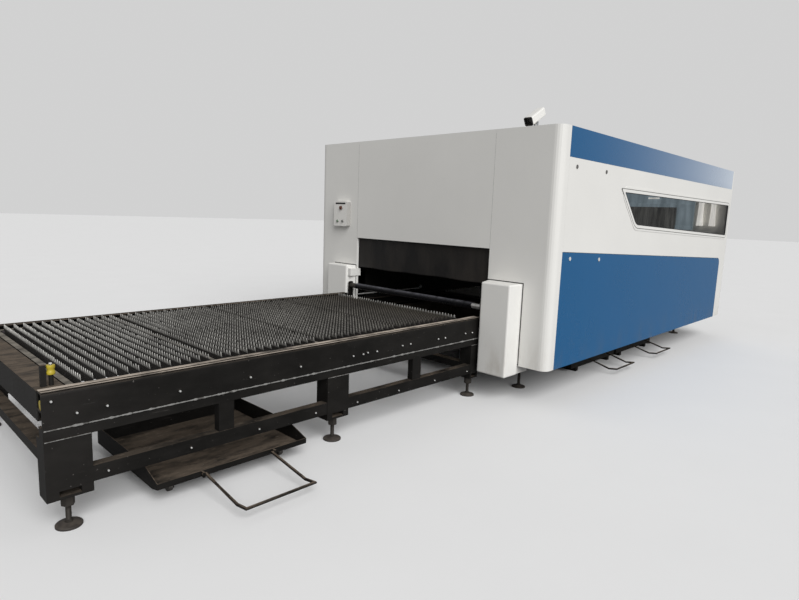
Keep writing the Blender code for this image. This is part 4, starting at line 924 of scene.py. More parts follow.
@dataclass
class PalletSlats:
    """The slat racks of both pallets, four sections each, with their rows of cut teeth."""

    start: float = -4.099
    section: float = 0.7475
    pitch: float = 0.7775
    sections: int = 4
    slat_pitch: float = 0.0580
    slats: int = 13
    thick: float = 0.003
    half: float = 0.802
    reach: float = 0.811
    bottom: float = 0.667
    valley: float = 0.716
    tip: float = 0.7445
    teeth: int = 48
    bar: float = 0.010
    bar_low: float = 0.666
    bar_high: float = 0.696
    bar_gap: float = 0.0005
    worn: float = 0.0035
    broken: tuple[float, float] = (0.05, 0.006)
    tooth_shares: tuple[float, float, float, float] = (0.16, 0.46, 0.58, 0.86)
    tip_slope: float = 0.0004
    valley_play: float = 0.001

    def _outline(self, dice: random.Random, down: float) -> Outline:
        """One slat in Y and Z, its teeth worn a little differently each time.

        Args:
            dice: random numbers.
            down: how far it lies below the upper pallet.

        Returns:
            The slat's outline.
        """
        tooth = 2 * self.reach / self.teeth
        chance, depth = self.broken
        points = [(self.reach, self.bottom - down)]
        for index in range(self.teeth):
            start = self.reach - index * tooth
            worn = dice.uniform(0.0, self.worn) + (depth if dice.random() < chance else 0.0)
            top = self.tip - worn - down
            valley = self.valley - down + dice.uniform(-self.valley_play, self.valley_play)
            heights = (valley, top, top - self.tip_slope, valley)
            points += [(start - tooth * share, z) for share, z in zip(self.tooth_shares, heights)]
        points.append((-self.reach, self.valley - down))
        points.append((-self.reach, self.bottom - down))
        return points

    def _rack(self, name: str, index: int, along: float, down: float, finish: Finish,
              body: str) -> bpy.types.Object:
        """One section's bars and slats.

        Args:
            name: the piece's name.
            index: which section, from the outer end.
            along: how far the pallet is from the table.
            down: how far it lies below the upper pallet.
            finish: the slats' finish.
            body: the pallet's body.

        Returns:
            The piece.
        """
        dice = random.Random(DATUM.seed + index)
        low = self.start + index * self.pitch + along
        high = low + self.section
        rack = Mould()
        for side in Side:
            inner, outer = side.span(self.half - self.bar, self.half)
            rack.bar((low + self.bar_gap, inner, self.bar_low - down),
                     (high - self.bar_gap, outer, self.bar_high - down))
        first = (low + high - (self.slats - 1) * self.slat_pitch) / 2
        for slat in range(self.slats):
            x = first + slat * self.slat_pitch
            rack.drawn(Axis.X, self._outline(dice, down), x - self.thick / 2, x + self.thick / 2)
        return rack.piece(name, finish, body, "steel", smooth=20)

    def build(self) -> None:
        """Makes the racks of both pallets."""
        along, down = DATUM.pallet_shift
        for index in range(self.sections):
            upper = self._rack(f"slats_{index + 1}", index, 0.0, 0.0, Finish.SLAT, "upper_pallet")
            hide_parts(f"slat_rack_{index + 1}")
            self._rack(f"lower_slats_{index + 1}", index, along, -down, Finish.LOWER_SLAT, "lower_pallet")


@dataclass
class PalletFrames:
    """The welded frames that carry the racks, and the pallets' wheels."""

    low: float = -4.139
    length: float = 3.160
    half: float = 0.865
    tube: float = 0.050
    tube_low: float = 0.640
    tube_high: float = 0.700
    cross_low: float = 0.664
    cross_high: float = 0.698
    end_width: float = 0.040
    divider: float = 0.030
    section: float = 0.7475
    wheel_inset: float = 0.350
    wheel_radius: float = 0.0279
    wheel_width: float = 0.018
    wheel_gap: float = 0.005
    wheel_edge: float = 0.0015
    dish: float = 0.003
    dish_shares: tuple[float, float, float, float] = (0.62, 0.58, 0.44, 0.42)
    pin: float = 0.008
    pin_play: float = 0.0004
    pin_ends: tuple[float, float] = (-0.004, 0.027)
    lap: float = 0.002
    weld_rise: float = 0.034
    weld_steps: int = 6

    def _crosses(self, along: float) -> list[tuple[float, float]]:
        """The X ranges of the frame's cross members."""
        low = self.low + along
        spots = [(low, low + self.end_width)]
        for index in range(3):
            left = low + self.end_width + (index + 1) * self.section + index * self.divider
            spots.append((left, left + self.divider))
        spots.append((low + self.length - self.end_width, low + self.length))
        return spots

    def _lower_frame(self) -> None:
        """The frame of the pallet inside the machine."""
        along, down = DATUM.pallet_shift
        shape = Mould()
        low, high = self.low + along, self.low + along + self.length
        for side in Side:
            near, far = side.span(self.half, self.half - self.tube)
            shape.bar((low, near, self.tube_low + down), (high, far, self.tube_high + down))
        reach = self.half - self.tube + self.lap
        for left, right in self._crosses(along):
            shape.bar((left, -reach, self.cross_low + down), (right, reach, self.cross_high + down))
        for x, side in self._wheels(along):
            path = [(x, side.value * (self.half + end), self._wheel_z(down)) for end in self.pin_ends]
            shape.swept(path, self.pin, 20)
        frame_piece = shape.piece("lower_frame", Finish.INNER_BLACK, "lower_pallet", "black", edge=0.002)
        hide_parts("lower_pallet")

    def _wheels(self, along: float) -> list[tuple[float, Side]]:
        """The wheels' X and side, outer ones first."""
        ends = (self.low + self.wheel_inset + along, self.low + self.length - self.wheel_inset + along)
        return [(x, side) for x in ends for side in Side]

    def _wheel_z(self, down: float) -> float:
        """The height of the wheels' middles."""
        return DATUM.upper_rail + DATUM.play + DATUM.wheel_radius + down

    def _wheel(self, name: str, x: float, side: Side, down: float) -> None:
        """A turned wheel with a dished face and a hub.

        Args:
            name: its CAD node and body.
            x: its place along the table.
            side: which side it runs on.
            down: its height below the upper pallet's wheels, as a negative number.
        """
        seat = (x, side.value * (self.half + self.wheel_gap), self._wheel_z(down))
        radius, width, bore = self.wheel_radius, self.wheel_width, self.pin + self.pin_play
        edge, (rim, rim_foot, hub_foot, hub) = self.wheel_edge, self.dish_shares
        profile = [(0.0, bore), (0.0, radius - edge), (edge, radius), (width - edge, radius),
                   (width, radius - edge), (width, radius * rim), (width - self.dish, radius * rim_foot),
                   (width - self.dish, radius * hub_foot), (width, radius * hub), (width, bore), (0.0, bore)]
        wheel = Mould().turned(seat, (0, side.value, 0), profile, 48)
        piece = wheel.piece(f"{name}_tyre", Finish.DULL, name, "dark_steel")
        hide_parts(name)

    def _welds(self) -> None:
        """Weld beads where the cross members meet the side tubes."""
        dice = random.Random(DATUM.seed)
        beads = Mould()
        inner = self.half - self.tube
        for left, right in self._crosses(0.0):
            for side in Side:
                for x in (left - 0.001, right + 0.001):
                    if not self.low + 0.004 < x < self.low + self.length - 0.004:
                        continue
                    path = [(x, side.value * (inner + 0.001),
                             self.cross_low + self.weld_rise * step / self.weld_steps)
                            for step in range(self.weld_steps + 1)]
                    beads.swept(path, [dice.uniform(0.0022, 0.0034) for _ in path], 8)
                top = [(left + (right - left) * step / self.weld_steps, side.value * (inner + 0.0005),
                        self.cross_high) for step in range(self.weld_steps + 1)]
                beads.swept(top, [dice.uniform(0.002, 0.003) for _ in top], 8)
        beads.piece("pallet_welds", Finish.WELD, "upper_pallet", "steel")

    def build(self) -> None:
        """Makes the lower frame, the wheels and the welds."""
        self._lower_frame()
        down = DATUM.pallet_shift[1]
        for prefix, along, drop in (("upper", 0.0, 0.0), ("lower", DATUM.pallet_shift[0], down)):
            for index, (x, side) in enumerate(self._wheels(along)):
                end = "outer" if index < 2 else "inner"
                self._wheel(f"{prefix}_wheel_{side.label}_{end}", x, side, drop)
        self._welds()
        repaint(Finish.PALLET, "upper_pallet_frame", edge=0.003)


@dataclass
class TableFasteners:
    """Bolts, weld seams and levelling feet of the exchange table."""

    rail_bolts: tuple[tuple[float, float], ...] = (
        (0.040, 0.675), (0.148, 0.596), (0.287, 0.601), (0.663, 0.600), (1.102, 0.598), (1.472, 0.602),
        (1.926, 0.601), (2.021, 0.600), (2.064, 0.605), (2.157, 0.601), (2.428, 0.605), (2.520, 0.606),
        (2.855, 0.600), (2.944, 0.598), (3.219, 0.601), (3.317, 0.596),
    )
    beam_bolts: tuple[tuple[float, float], ...] = (
        (0.281, 0.257), (0.723, 0.255), (1.164, 0.253), (1.602, 0.255), (1.979, 0.250), (2.409, 0.250),
        (2.837, 0.250), (3.274, 0.250),
    )
    bolt: float = 0.012
    beam_bolt: float = 0.9
    beam_in: float = 0.003
    head_across: float = 0.86
    head_height: float = 0.75
    rail_low: float = 0.533
    leg_top: float = 0.477
    leg_starts: tuple[float, ...] = (0.0, 1.703, 3.321)
    leg_widths: tuple[float, ...] = (0.211, 0.191, 0.110)
    leg_bottom: float = 0.172
    foot_in: float = 0.060
    bed_feet: tuple[float, ...] = (0.394, 3.553, 4.640)
    bed_foot_y: float = 1.050
    bed_bottom: float = 0.300
    sleeve: float = 0.058
    cap_inner: tuple[float, float] = (0.868, 0.902)
    cap_outer: tuple[float, float] = (0.9225, 0.9386)
    cap_thick: float = 0.0022
    lip_thick: float = 0.0030
    cap_seat: float = 0.001
    cap_end: float = 0.002
    seam_in: float = 0.0015
    seam_end: float = 0.004
    seam_step: float = 0.007
    lump: float = 0.0038
    lump_reach: float = 0.011
    pad: Profile = ((0.0, 0.0), (0.0, 0.0628), (0.0094, 0.0628), (0.0115, 0.0610), (0.0135, 0.0540),
                    (0.0205, 0.0230), (0.0215, 0.0))
    thread: tuple[float, float] = (0.0126, 0.0138)
    thread_pitch: float = 0.0024
    thread_low: float = 0.019
    sleeve_across: float = 0.056
    nut: tuple[float, float] = (0.034, 0.012)

    def _bolts(self, side: Side) -> None:
        """The zinc bolts of one side."""
        out = (0, side.value, 0)
        heads, washers = Mould(), Mould()
        faces = ((self.rail_bolts, DATUM.table_half, self.bolt),
                 (self.beam_bolts, DATUM.table_half - self.beam_in, self.bolt * self.beam_bolt))
        for places, face, size in faces:
            for x, z in places:
                seat = Vector((DATUM.table_x + x, side.value * face, z))
                thick = size * DATUM.washer_share
                washers.turned(seat, out, [(0, 0), (0, size * 1.05), (thick, size), (thick, 0)], 20)
                top = seat + Vector(out) * thick
                heads.hexagon(top, out, size * self.head_across, size * self.head_height)
        heads.piece(f"table_bolts_{side.label}", Finish.ZINC, slot="steel", smooth=20)
        washers.piece(f"table_washers_{side.label}", Finish.INNER_BLACK, slot="black", smooth=20)

    def _seams(self, side: Side) -> None:
        """The weld seams of one side: along the rail's lower edge and round the leg tops."""
        dice = random.Random(DATUM.seed + side.value)
        seams = Mould()
        face = side.value * (DATUM.table_half - self.seam_in)
        x, end = DATUM.table_x + self.seam_end, DATUM.table_end - self.seam_end
        while x < end:
            run = min(dice.uniform(0.05, 0.32), end - x)
            steps = max(3, int(run / self.seam_step))
            path = [(x + run * step / steps, face, self.rail_low - 0.0005 + dice.uniform(-0.0006, 0.0006))
                    for step in range(steps + 1)]
            lumps = [dice.uniform(0.1, 0.9) for _ in range(2)]
            radii = []
            for step in range(steps + 1):
                swell = sum(math.exp(-((step / steps - lump) * run / self.lump_reach) ** 2) for lump in lumps)
                radii.append(dice.uniform(0.0030, 0.0050) + dice.uniform(0.6, 1.0) * self.lump * swell)
            seams.swept(path, radii, 6)
            x += run + dice.uniform(-0.004, 0.004)
        for start, width in zip(self.leg_starts, self.leg_widths):
            low = DATUM.table_x + start + self.seam_end
            steps = max(3, int(width / self.seam_step))
            run = width - 2 * self.seam_end
            path = [(low + run * step / steps, face, self.leg_top) for step in range(steps + 1)]
            seams.swept(path, [dice.uniform(0.0018, 0.0034) for _ in path], 6)
        seams.piece(f"table_seams_{side.label}", Finish.WELD, slot="steel")

    def _foot(self, shape: Mould, pads: Mould, x: float, y: float, top: float) -> None:
        """One levelling foot round its plain CAD form.

        Args:
            shape: takes the stem and the nuts.
            pads: takes the pad.
            x: its place.
            y: its place.
            top: the underside of what it carries.
        """
        up = (0, 0, 1)
        pads.turned((x, y, 0), up, self.pad, 40)
        root, crest = self.thread
        height, seat = self.thread_low, top - 0.002
        stem = [(height - 0.001, 0.0)]
        while height < seat - 0.002:
            stem += [(height, root), (height + self.thread_pitch / 2, crest)]
            height += self.thread_pitch
        stem += [(seat, root), (seat, 0.0)]
        shape.turned((x, y, 0), up, stem, 16)
        shape.hexagon((x, y, seat - self.sleeve), up, self.sleeve_across, self.sleeve)
        shape.hexagon((x, y, self.pad[-1][0]), up, *self.nut)

    def _feet(self) -> None:
        """The levelling feet of the table and of the bed."""
        stems, pads = Mould(), Mould()
        for side in Side:
            for start, width in zip(self.leg_starts, self.leg_widths):
                self._foot(stems, pads, DATUM.table_x + start + width / 2,
                           side.value * (DATUM.table_half - self.foot_in), self.leg_bottom)
            for place in self.bed_feet:
                self._foot(stems, pads, DATUM.face + place, side.value * self.bed_foot_y, self.bed_bottom)
        stems.piece("foot_stems", Finish.BLACKENED, slot="steel", smooth=25)
        pads.piece("foot_pads", Finish.PAD, slot="black")

    def _caps(self, side: Side) -> None:
        """The worn flat and the lip that run along the top of one side's rail."""
        strips = Mould()
        for (inner, outer), thick in ((self.cap_inner, self.cap_thick), (self.cap_outer, self.lip_thick)):
            low, high = side.span(inner, outer)
            strips.bar((DATUM.table_x + self.cap_end, low, DATUM.table_top - self.cap_seat),
                       (DATUM.table_end - self.cap_end, high, DATUM.table_top + thick))
        finish = Finish.DUSTY if side is Side.NEAR else Finish.BLACK
        strips.piece(f"rail_caps_{side.label}", finish, slot="black", edge=0.0006)

    def build(self) -> None:
        """Makes the fasteners and paints the table's steelwork."""
        for side in Side:
            self._bolts(side)
            self._caps(side)
            self._seams(side)
            repaint(Finish.INNER_BLACK, f"table_side_rail_{side.label}", f"table_side_frame_{side.label}",
                    edge=0.0015)
        repaint(Finish.BLACK, "table_outer_end_beam", "table_lower_tie_outer", "table_lower_tie_inner",
                "table_upper_tie_middle", edge=0.002)
        self._feet()


@dataclass
class TableGuides:
    """Upright guide rollers, buffers and the drive shaft with its bearings."""

    roller_x: float = -4.204
    roller_y: float = 0.808
    roller_z: float = 0.795
    roller_radius: float = 0.020
    roller_height: float = 0.048
    roller_bore: float = 0.0064
    roller_lip: float = 0.003
    roller_bolt: float = 0.008
    bolt_seat: float = 0.0042
    waist_share: float = 0.84
    buffer_in: float = 0.004
    buffer_gap: float = 0.0103
    buffer_radius: float = 0.024
    buffer_length: float = 0.044
    buffer_neck: float = 0.93
    buffer_edge: float = 0.006
    shaft_x: float = -0.784
    shaft_z: float = 0.802
    shaft_half: float = 0.9135
    bearing_inner: float = 0.8975
    bearing_outer: float = 0.909
    shaft_radius: float = 0.031
    core: float = 0.020
    coupling_radius: float = 0.027
    coupling_length: float = 0.100
    shaft_edge: float = 0.004
    clamp_groove: float = 0.003
    clamp_edge: float = 0.001
    screw_spots: tuple[float, float] = (0.022, 0.078)
    screw_turns: tuple[float, float, float] = (0.3, 2.4, 4.5)
    screw_sunk: float = 0.0045
    screw: Profile = ((0.0, 0.0), (0.0, 0.0052), (0.0038, 0.0052), (0.0042, 0.0047), (0.0042, 0.0026),
                      (0.0015, 0.0026), (0.0015, 0.0))
    journal: float = 0.0149
    journal_gap: float = 0.0004
    flange: Profile = ((0.0, 0.0175), (0.0, 0.0285), (0.003, 0.0285), (0.004, 0.0275), (0.004, 0.022),
                       (0.007, 0.021), (0.007, 0.0175))
    flange_seat: float = 0.004
    flange_screws: tuple[float, float, float, float] = (0.785, 2.356, 3.927, 5.498)
    flange_reach: float = 0.0248
    flange_nut: tuple[float, float] = (0.007, 0.0035)
    plate_bolts: tuple[float, float, float] = (0.575, 0.66, 0.735)
    plate_bolt: float = 0.009
    plate_shift: float = 0.006

    def _roller(self, side: Side) -> None:
        """A yellow roller with a groove round its waist and the bolt that holds it."""
        half, radius, bore = self.roller_height / 2, self.roller_radius, self.roller_bore
        waist, lip = radius * self.waist_share, self.roller_lip
        upper = [(0.0, waist), (half * 0.18, waist), (half * 0.40, radius), (half - lip, radius),
                 (half - lip * 0.3, radius - lip * 0.3), (half, radius - lip), (half, bore)]
        profile = [(-along, size) for along, size in reversed(upper[1:])] + upper + [(-half, bore)]
        middle = (self.roller_x, side.value * self.roller_y, self.roller_z)
        tyre = Mould().turned(middle, (0, 0, 1), profile, 48)
        piece = tyre.piece(f"roller_tyre_{side.label}", Finish.YELLOW, f"roller_{side.label}", "yellow")
        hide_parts(f"guide_roller_{side.label}")
        tip = (self.roller_x, side.value * self.roller_y, self.roller_z + half + self.bolt_seat)
        bolt = Mould().bolt(tip, (0, 0, 1), self.roller_bolt)
        bolt.piece(f"roller_screws_{side.label}", Finish.ZINC, slot="steel", smooth=20)

    def _buffer(self, side: Side) -> None:
        """A yellow stop buffer with a necked waist and a sunk screw hole."""
        length, radius, edge = self.buffer_length, self.buffer_radius, self.buffer_edge
        seat = (DATUM.table_x + self.buffer_in, side.value * (DATUM.table_half - self.buffer_gap - radius),
                DATUM.upper_rail + DATUM.play + radius)
        neck = radius * self.buffer_neck
        profile = [(0.0, 0.0), (0.0, radius), (length * 0.35, radius), (length * 0.42, neck), (length * 0.50, neck),
                   (length * 0.57, radius), (length - edge, radius), (length - edge * 0.3, radius - edge * 0.3),
                   (length, radius - edge), (length, 0.007), (length - edge, 0.005), (length - edge, 0.0)]
        piece = Mould().turned(seat, (1, 0, 0), profile, 40).piece(
            f"stop_buffer_{side.label}", Finish.YELLOW, slot="yellow")
        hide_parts(f"pallet_buffer_{side.label}")

    def _shaft(self) -> None:
        """The drive shaft with its shoulders and journals."""
        half, reach = self.shaft_half, self.bearing_inner - self.journal_gap
        shoulder = self.coupling_length - reach
        profile = [(-half, 0.0), (-half, self.journal), (-reach, self.journal), (-reach, self.core),
                   (shoulder, self.core), (shoulder, self.shaft_radius - self.shaft_edge),
                   (shoulder + self.shaft_edge, self.shaft_radius)]
        profile += [(-along, radius) for along, radius in reversed(profile)]
        steel = Mould().turned((self.shaft_x, 0, self.shaft_z), (0, 1, 0), profile, 40)
        shaft = steel.piece("shaft", Finish.SHAFT, "drive_shaft", "dark_steel")
        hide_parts("drive_shaft")

    def _coupling(self, side: Side) -> None:
        """The clamp coupling at one end of the shaft, with its screws."""
        clamps = Mould()
        reach = self.bearing_inner - self.journal_gap
        length, radius, edge = self.coupling_length, self.coupling_radius, self.clamp_edge
        groove = radius - self.clamp_groove
        rings = [(0.0, self.core), (0.0, radius - edge), (edge, radius), (length * 0.46, radius),
                 (length * 0.48, groove), (length * 0.52, groove), (length * 0.54, radius),
                 (length - edge, radius), (length, radius - edge), (length, self.core)]
        clamps.turned((self.shaft_x, side.value * reach, self.shaft_z), (0, -side.value, 0), rings, 40)
        for along in self.screw_spots:
            middle = Vector((self.shaft_x, side.value * (reach - along), self.shaft_z))
            for turn in self.screw_turns:
                aim = Vector((math.cos(turn), 0, math.sin(turn)))
                clamps.turned(middle + aim * (radius - self.screw_sunk), aim, self.screw, 14)
        # The far coupling is blackened as painted shade; the near one is bright steel.
        finish = Finish.BRIGHT if side is Side.NEAR else Finish.BLACKENED
        clamps.piece(f"shaft_coupling_{side.label}", finish, "drive_shaft", "steel", smooth=25)

    def _bearing(self, side: Side) -> None:
        """The flange of a shaft bearing with its bolts."""
        out = (0, side.value, 0)
        face = side.value * self.bearing_outer
        flange = Mould().turned((self.shaft_x, face, self.shaft_z), out, self.flange, 36)
        for angle in self.flange_screws:
            spot = (self.shaft_x + self.flange_reach * math.cos(angle), face,
                    self.shaft_z + self.flange_reach * math.sin(angle))
            flange.hexagon(Vector(spot) + Vector(out) * self.flange_seat, out, *self.flange_nut)
        for z in self.plate_bolts:
            flange.bolt((self.shaft_x + self.plate_shift, face, z), out, self.plate_bolt)
        flange.piece(f"bearing_flange_{side.label}", Finish.ZINC, slot="steel", smooth=25)

    def build(self) -> None:
        """Makes the guides and the drive."""
        for side in Side:
            self._roller(side)
            self._buffer(side)
            self._bearing(side)
        for side in Side:
            self._coupling(side)
        self._shaft()


@dataclass
class CoverPanels:
    """The painted covers: window trim, gaskets and joint lines."""

    window_left: float = 1.211
    window_low_left: float = 1.599
    window_right: float = 4.828
    window_top: float = 1.921
    low_left_z: float = 1.561
    low_right_z: float = 1.453
    sharp: float = 0.006
    nose: float = 0.185
    trim: float = 0.024
    trim_proud: float = 0.004
    trim_lap: float = 0.004
    bezel_front: float = 0.0005
    bezel_deep: float = 0.007
    bezel_corners: tuple[float, float] = (0.050, 0.024)
    seal_sheet: tuple[float, float] = (0.0007, 0.0002)
    seal_corner: float = 0.060
    bead_sunk: float = 0.0004
    bead_corner: float = 0.018
    nose_steps: tuple[float, float, float, float] = (0.014, 0.004, -0.020, -0.026)
    bead: float = 0.006
    seal: float = 0.007
    gasket: float = 0.008
    gasket_thick: float = 0.0010
    gasket_rise: float = 0.012
    seam: float = 0.0006
    seam_proud: float = 0.0004
    seam_deep: float = 0.001
    seam_low: float = 0.004
    seam_top: float = 0.030
    cover_y: tuple[float, float] = (0.906, 1.2655)
    cover_tops: tuple[float, float] = (1.0478, 1.0218)

    def _window(self, distance: float, nose: float, corner: float) -> Outline:
        """The window's outline in X and Z, moved outwards or inwards, with its own corners.

        Args:
            distance: how far it is moved, negative for inwards.
            nose: radius of the lower corner by the end face.
            corner: radius of the lower and upper corners at the rear.

        Returns:
            The outline; its upper corner by the end face stays sharp.
        """
        x = DATUM.face
        points = [(x + self.window_low_left, self.low_left_z), (x + self.window_right, self.low_right_z),
                  (x + self.window_right, self.window_top), (x + self.window_left, self.window_top)]
        return rounded(grown(points, distance), [nose, corner, corner, self.sharp], 10)

    def _trims(self) -> None:
        """The window's white bezel with a grey seal outside and a dark bead inside; both lines are real parts and
        also painted shadow round the bezel.
        """
        face = -DATUM.wall - self.trim_proud
        edge_step, outer_step, inner_step, glass_step = self.nose_steps
        outer = self._window(self.trim_lap, self.nose + outer_step, self.bezel_corners[0])
        inner = self._window(-self.trim, self.nose + inner_step, self.bezel_corners[1])
        bezel = Mould().collar(Axis.Y, outer, inner, face - self.bezel_front, face + self.bezel_deep)
        bezel.piece("window_bezel", Finish.WHITE, slot="white", edge=0.0003)
        edge = self._window(self.trim_lap + self.seal, self.nose + edge_step, self.seal_corner)
        seal = Mould().collar(Axis.Y, edge, outer, face - self.seal_sheet[0], face + self.seal_sheet[1])
        seal.piece("window_seal", Finish.SEAL, slot="grey")
        # The dark bead is a real part and also painted shadow inside the bezel.
        glass = self._window(-self.trim - self.bead, self.nose + glass_step, self.bead_corner)
        bead = Mould().collar(Axis.Y, inner, glass, face + self.bead_sunk, face + self.bezel_deep)
        bead.piece("window_bead", Finish.GAP, slot="black")

    def _gasket(self, side: Side) -> None:
        """The dark gasket round a column cover's back, whose dark line is also painted shadow in the gap there, and
        the joint line above the opening's corner.
        """
        low, high = side.span(*self.cover_y)
        top = self.cover_tops[0 if side is Side.NEAR else 1]
        bottom = DATUM.skirt + self.gasket_rise
        inner = [(low, bottom), (high, bottom), (high, top), (low, top)]
        outer = grown(inner, self.gasket)
        # A thin dark strip round the cover on the end face: a gasket and also painted shadow in the gap.
        gap = Mould().collar(Axis.X, outer, inner, DATUM.face - self.gasket_thick, DATUM.face)
        gap.piece(f"cover_gasket_{side.label}", Finish.GAP, slot="black")
        y = side.value * DATUM.opening_half
        seam = Mould().bar((DATUM.face - self.seam_proud, y - self.seam, DATUM.opening_top + self.seam_low),
                           (DATUM.face + self.seam_deep, y + self.seam, DATUM.roof - self.seam_top))
        seam.piece(f"end_seam_{side.label}", Finish.SEAL, slot="grey")

    def build(self) -> None:
        """Dresses and paints the covers."""
        self._trims()
        for side in Side:
            self._gasket(side)
            repaint(Finish.WHITE, f"side_panel_{side.label}", f"end_panel_{side.label}",
                    f"column_cover_{side.label}")
            repaint(Finish.BLUE, f"blue_band_{side.label}", f"blue_panel_{side.label}", edge=0.003)
        repaint(Finish.WHITE, "end_panel_top", "rear_panel", "roof_panel")
        repaint(Finish.PANE, "window_glass")


@dataclass
class Curtain:
    """The hanging flap in the opening, a sheet with creases."""

    bottom: float = 0.998
    top: float = 1.3595
    lap_face: float = -0.6817
    thick: float = 0.0025
    columns: int = 160
    rows: int = 34
    side_gap: float = 0.002
    ruffle: float = 0.005
    ruffle_low: float = 0.001
    waves: int = 9
    depth: float = 0.0042
    swing: float = 0.0038

    def build(self) -> None:
        """Makes the sheet."""
        dice = random.Random(DATUM.seed)
        waves = [(dice.uniform(3, 22), dice.uniform(0, 6.28), dice.uniform(0.3, 1.0)) for _ in range(self.waves)]
        half = DATUM.opening_half - self.side_gap
        points: list[Vector] = []
        for row in range(self.rows + 1):
            fall = row / self.rows
            for column in range(self.columns + 1):
                y = half - 2 * half * column / self.columns
                lift = self.ruffle_low + self.ruffle * (1 + math.sin(9 * y + 1.1) * math.sin(3.7 * y))
                z = self.top - (self.top - self.bottom - lift) * fall
                wave = sum(size * math.sin(rate * y + shift + 1.4 * fall * math.sin(shift * 3))
                           for rate, shift, size in waves)
                depth = self.depth + self.swing * math.tanh(wave / 2.4) * min(1.0, 0.25 + fall * 1.2)
                points.append(Vector((self.lap_face + depth, y, z)))
        wide = self.columns + 1
        faces = [(r * wide + c, r * wide + c + 1, (r + 1) * wide + c + 1, (r + 1) * wide + c)
                 for r in range(self.rows) for c in range(self.columns)]
        cloth = Mould(points, faces).piece("curtain", Finish.CURTAIN, slot="curtain", smooth=80)
        solid = cloth.modifiers.new("thickness", "SOLIDIFY")
        solid.thickness = self.thick
        solid.offset = 1.0
        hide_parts("opening_curtain")


@dataclass
class ControlBox:
    """The control box on the end face and what is screwed to it."""

    y: float = 1.129
    z: float = 1.590
    width: float = 0.224
    height: float = 0.277
    front: float = -0.7673
    stop: tuple[float, float] = (1.115, 1.654)
    start: tuple[float, float] = (1.172, 1.507)
    reset: tuple[float, float] = (1.086, 1.507)
    strip: tuple[float, float] = (0.168, 0.018)
    strip_z: float = 1.703
    strip_sheet: tuple[float, float] = (0.0012, 0.001)
    strip_corner: float = 0.004
    stop_bore: float = 0.0217
    push_bore: float = 0.0136
    collar_wall: float = 0.0032
    cap_play: float = 0.0006
    cap_depth: float = 0.014
    cap_edge: float = 0.0015
    stem: tuple[float, float] = (-0.026, 0.009)
    screw_in: float = 0.013
    screw: Profile = ((0.0, 0.0), (0.0, 0.0042), (0.0014, 0.0036), (0.0018, 0.0022), (0.0008, 0.0016),
                      (0.0008, 0.0))

    def _button(self, name: str, place: tuple[float, float], radius: float, travel: float, dome: float,
                finish: Finish, slot: str) -> None:
        """A turned push button that replaces its plain CAD form.

        Args:
            name: its CAD node and body.
            place: its middle in Y and Z.
            radius: the cap's radius.
            travel: how far it pushes in.
            dome: height of the cap's crown.
            finish: its finish.
            slot: its material slot.
        """
        under, depth = travel + self.cap_play, self.cap_depth
        top, crown = under + depth, radius * 0.62
        root, stem = self.stem
        profile = [(root, 0.0), (root, stem), (under, stem), (under, radius * 0.94), (under + self.cap_edge, radius),
                   (under + depth * 0.45, radius), (under + depth * 0.7, radius * 0.93), (top - dome * 0.4, crown),
                   (top - dome * 0.1, crown * 0.55), (top, 0.0)]
        cap = Mould().turned((self.front, *place), (-1, 0, 0), profile, 40)
        piece = cap.piece(f"{name}_cap", finish, name, slot)
        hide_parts(name)

    def build(self) -> None:
        """Makes the collars, the strip, the screws and the buttons."""
        collars = Mould()
        for place, bore in ((self.stop, self.stop_bore), (self.start, self.push_bore), (self.reset, self.push_bore)):
            radius = bore + self.collar_wall
            collars.turned((self.front, *place), (-1, 0, 0), [(0.0, bore), (0.0, radius), (0.0018, radius - 0.0006),
                                                             (0.0024, radius - 0.0018), (0.0024, bore)], 36)
        collars.piece("button_collars", Finish.BRIGHT, slot="steel")
        half_width, half_height = self.strip[0] / 2, self.strip[1] / 2
        low, high = self.y - half_width, self.y + half_width
        bottom, top = self.strip_z - half_height, self.strip_z + half_height
        strip = rounded([(low, bottom), (high, bottom), (high, top), (low, top)], [self.strip_corner] * 4)
        Mould().drawn(Axis.X, strip, self.front - self.strip_sheet[0], self.front + self.strip_sheet[1]).piece(
            "indicator_strip", Finish.BLACK_PLASTIC, slot="black", edge=0.0004)
        screws = Mould()
        for dy in (-1, 1):
            for dz in (-1, 1):
                spot = (self.front, self.y + dy * (self.width / 2 - self.screw_in),
                        self.z + dz * (self.height / 2 - self.screw_in))
                screws.turned(spot, (-1, 0, 0), self.screw, 16)
        screws.piece("box_screws", Finish.ZINC, slot="steel")
        self._button("emergency_stop", self.stop, 0.021, 0.006, 0.006, Finish.RED, "red")
        self._button("button_start", self.start, 0.013, 0.003, 0.002, Finish.GREEN, "green")
        self._button("button_reset", self.reset, 0.013, 0.003, 0.002, Finish.SEAL, "grey")
        repaint(Finish.BOX, "control_box", edge=0.0025)


